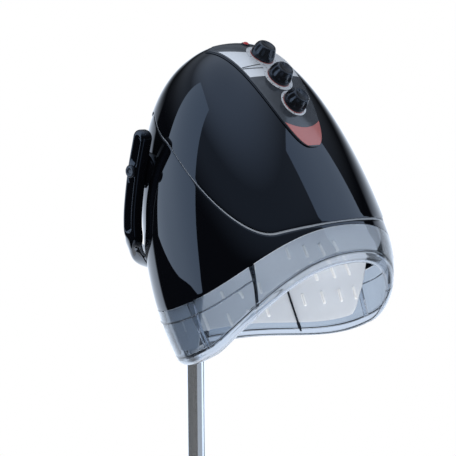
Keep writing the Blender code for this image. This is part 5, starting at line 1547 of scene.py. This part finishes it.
class DRYER_OT_stage(bpy.types.Operator):
    """Set the pale floor, the studio light and the camera"""
    bl_idname = "dryer.stage"
    bl_label = "Stage"

    def soft_box(self, aim, name, corners, radiance, mirrored):
        """A glowing panel whose corners are seen from the hood in the given directions."""
        pick_none()
        bpy.ops.mesh.primitive_plane_add(size=2.0)
        panel = named(name)
        for vertex, corner in zip(panel.data.vertices, corners):
            vertex.co = aim + direction(*corner) * BOX_DISTANCE
        material, _, shader = new_material(name)
        shader["Base Color"].default_value = (0.0, 0.0, 0.0, 1.0)
        shader["Specular IOR Level"].default_value = 0.0
        shader["Emission Color"].default_value = (*radiance, 1.0)
        shader["Emission Strength"].default_value = 1.0
        panel.data.materials.append(material)
        panel.visible_camera = False
        panel.visible_transmission = False
        panel.visible_shadow = False
        panel.visible_glossy = mirrored

    def floor(self):
        pick_none()
        bpy.ops.mesh.primitive_circle_add(vertices=LARGE_STEPS, radius=FLOOR_RADIUS, fill_type="NGON")
        floor = named("studio_floor")
        material, tree, shader = new_material("floor_pale")
        shader["Base Color"].default_value = FLOOR_COLOUR
        shader["Roughness"].default_value = FLOOR_ROUGHNESS
        shader["Emission Color"].default_value = WHITE
        path = add_node(tree, "ShaderNodeLightPath")
        glow = combine(tree, "MULTIPLY", path.outputs["Is Camera Ray"], FLOOR_GLOW)
        tree.links.new(glow, shader["Emission Strength"])
        floor.data.materials.append(material)

    def room(self):
        """White to the camera and through the visor, a soft top light and a white backdrop in reflections."""
        world = bpy.data.worlds.new("studio")
        bpy.context.scene.world = world
        world.use_nodes = True
        tree = world.node_tree
        shader = tree.nodes["Background"].inputs
        place = add_node(tree, "ShaderNodeTexCoord").outputs["Generated"]
        parts = add_node(tree, "ShaderNodeSeparateXYZ")
        tree.links.new(place, parts.inputs[0])
        up = parts.outputs["Z"]

        def ramp(value, start, end, high):
            span = add_node(tree, "ShaderNodeMapRange", interpolation_type="SMOOTHSTEP")
            for socket, edge in (("Value", value), ("From Min", start), ("From Max", end), ("To Max", high)):
                feed(tree, span.inputs[socket], edge)
            return span.outputs[0]

        def both(operation, first, second):
            return combine(tree, operation, first, second)

        behind = add_node(tree, "ShaderNodeVectorMath", operation="DOT_PRODUCT")
        behind.inputs[1].default_value = BACKDROP_SIDE
        tree.links.new(place, behind.inputs[0])
        wall = ramp(behind.outputs["Value"], *BACKDROP_RAMP)
        sweep = both("MULTIPLY", wall, both("SUBTRACT", 1.0, ramp(up, *BACKDROP_TOP)))
        overhead = both("MAXIMUM", ramp(up, *TOP_LIGHT), ramp(up, *TOP_GLOW))
        studio = both("ADD", both("MAXIMUM", overhead, sweep), ROOM_LEAST)
        path = add_node(tree, "ShaderNodeLightPath").outputs
        glossy = path["Is Glossy Ray"]
        ambient = both("SUBTRACT", 1.0, glossy)
        mixed = both("ADD", both("MULTIPLY", studio, glossy), ambient)
        shown = both("MAXIMUM", path["Is Camera Ray"], path["Is Transmission Ray"])
        level = both("ADD", both("MULTIPLY", mixed, both("SUBTRACT", 1.0, shown)), shown)
        tree.links.new(level, shader["Strength"])
        tree.links.new(mix_of(tree, glossy, WHITE, ROOM_TINT), shader["Color"])

    def camera(self, scene, origin):
        """The photograph's camera, turned so that the hood's middle falls on its spot in the picture."""
        camera = bpy.data.cameras.new("photo_camera")
        camera.sensor_width = SENSOR
        camera.lens = PHOTO_FOCUS / PHOTO_SIZE * SENSOR
        camera.clip_end = CAMERA_END
        item = bpy.data.objects.new("photo_camera", camera)
        away = direction(*CAMERA_SIDE)
        item.location = origin + away * CAMERA_DISTANCE
        item.rotation_mode = "QUATERNION"
        across, down = [math.atan((spot - PHOTO_SIZE / 2) / PHOTO_FOCUS) for spot in PHOTO_SPOT]
        left = Quaternion((0.0, 1.0, 0.0), across)
        up = Quaternion((1.0, 0.0, 0.0), down)
        item.rotation_quaternion = (-away).to_track_quat("-Z", "Y") @ left @ up
        scene.collection.objects.link(item)
        scene.camera = item

    def execute(self, context):
        form = hood_of(context)[0]
        context.scene.view_settings.view_transform = "Standard"
        self.floor()
        self.room()
        aim = form.seat @ Vector((0.0, 0.0, AIM_UP))
        for box in SOFT_BOXES:
            self.soft_box(aim, *box)
        self.camera(context.scene, form.seat.translation)
        return {"FINISHED"}


STEPS = (DRYER_OT_finishes, DRYER_OT_covers, DRYER_OT_visor, DRYER_OT_bowl, DRYER_OT_strip, DRYER_OT_knobs,
         DRYER_OT_yoke, DRYER_OT_column, DRYER_OT_base, DRYER_OT_castors, DRYER_OT_grille, DRYER_OT_stage)


class DRYER_PT_sidebar(bpy.types.Panel):
    """The dryer's sizes, finishes and building steps"""
    bl_idname = "DRYER_PT_sidebar"
    bl_label = "Hood dryer"
    bl_space_type = "VIEW_3D"
    bl_region_type = "UI"
    bl_category = "Dryer"

    def draw(self, context):
        scene = context.scene
        for group in (scene.dryer_hood, scene.dryer_stand, scene.dryer_finish):
            box = self.layout.box()
            for key in group.__annotations__:
                box.prop(group, key)
        for step in STEPS:
            self.layout.operator(step.bl_idname)


GROUPS = (HoodSizes, StandSizes, FinishChoices)


def register():
    for item in GROUPS + STEPS + (DRYER_PT_sidebar,):
        bpy.utils.register_class(item)
    bpy.types.Scene.dryer_hood = bpy.props.PointerProperty(type=HoodSizes)
    bpy.types.Scene.dryer_stand = bpy.props.PointerProperty(type=StandSizes)
    bpy.types.Scene.dryer_finish = bpy.props.PointerProperty(type=FinishChoices)


def unregister():
    del bpy.types.Scene.dryer_finish
    del bpy.types.Scene.dryer_stand
    del bpy.types.Scene.dryer_hood
    for item in reversed(GROUPS + STEPS + (DRYER_PT_sidebar,)):
        bpy.utils.unregister_class(item)


def main():
    register()
    bpy.ops.dryer.finishes()
    bpy.ops.dryer.covers()
    bpy.ops.dryer.visor()
    bpy.ops.dryer.bowl()
    bpy.ops.dryer.strip()
    bpy.ops.dryer.knobs()
    bpy.ops.dryer.yoke()
    bpy.ops.dryer.column()
    bpy.ops.dryer.base()
    bpy.ops.dryer.castors()
    bpy.ops.dryer.grille()
    bpy.ops.dryer.stage()


if __name__ == "__main__":
    main()
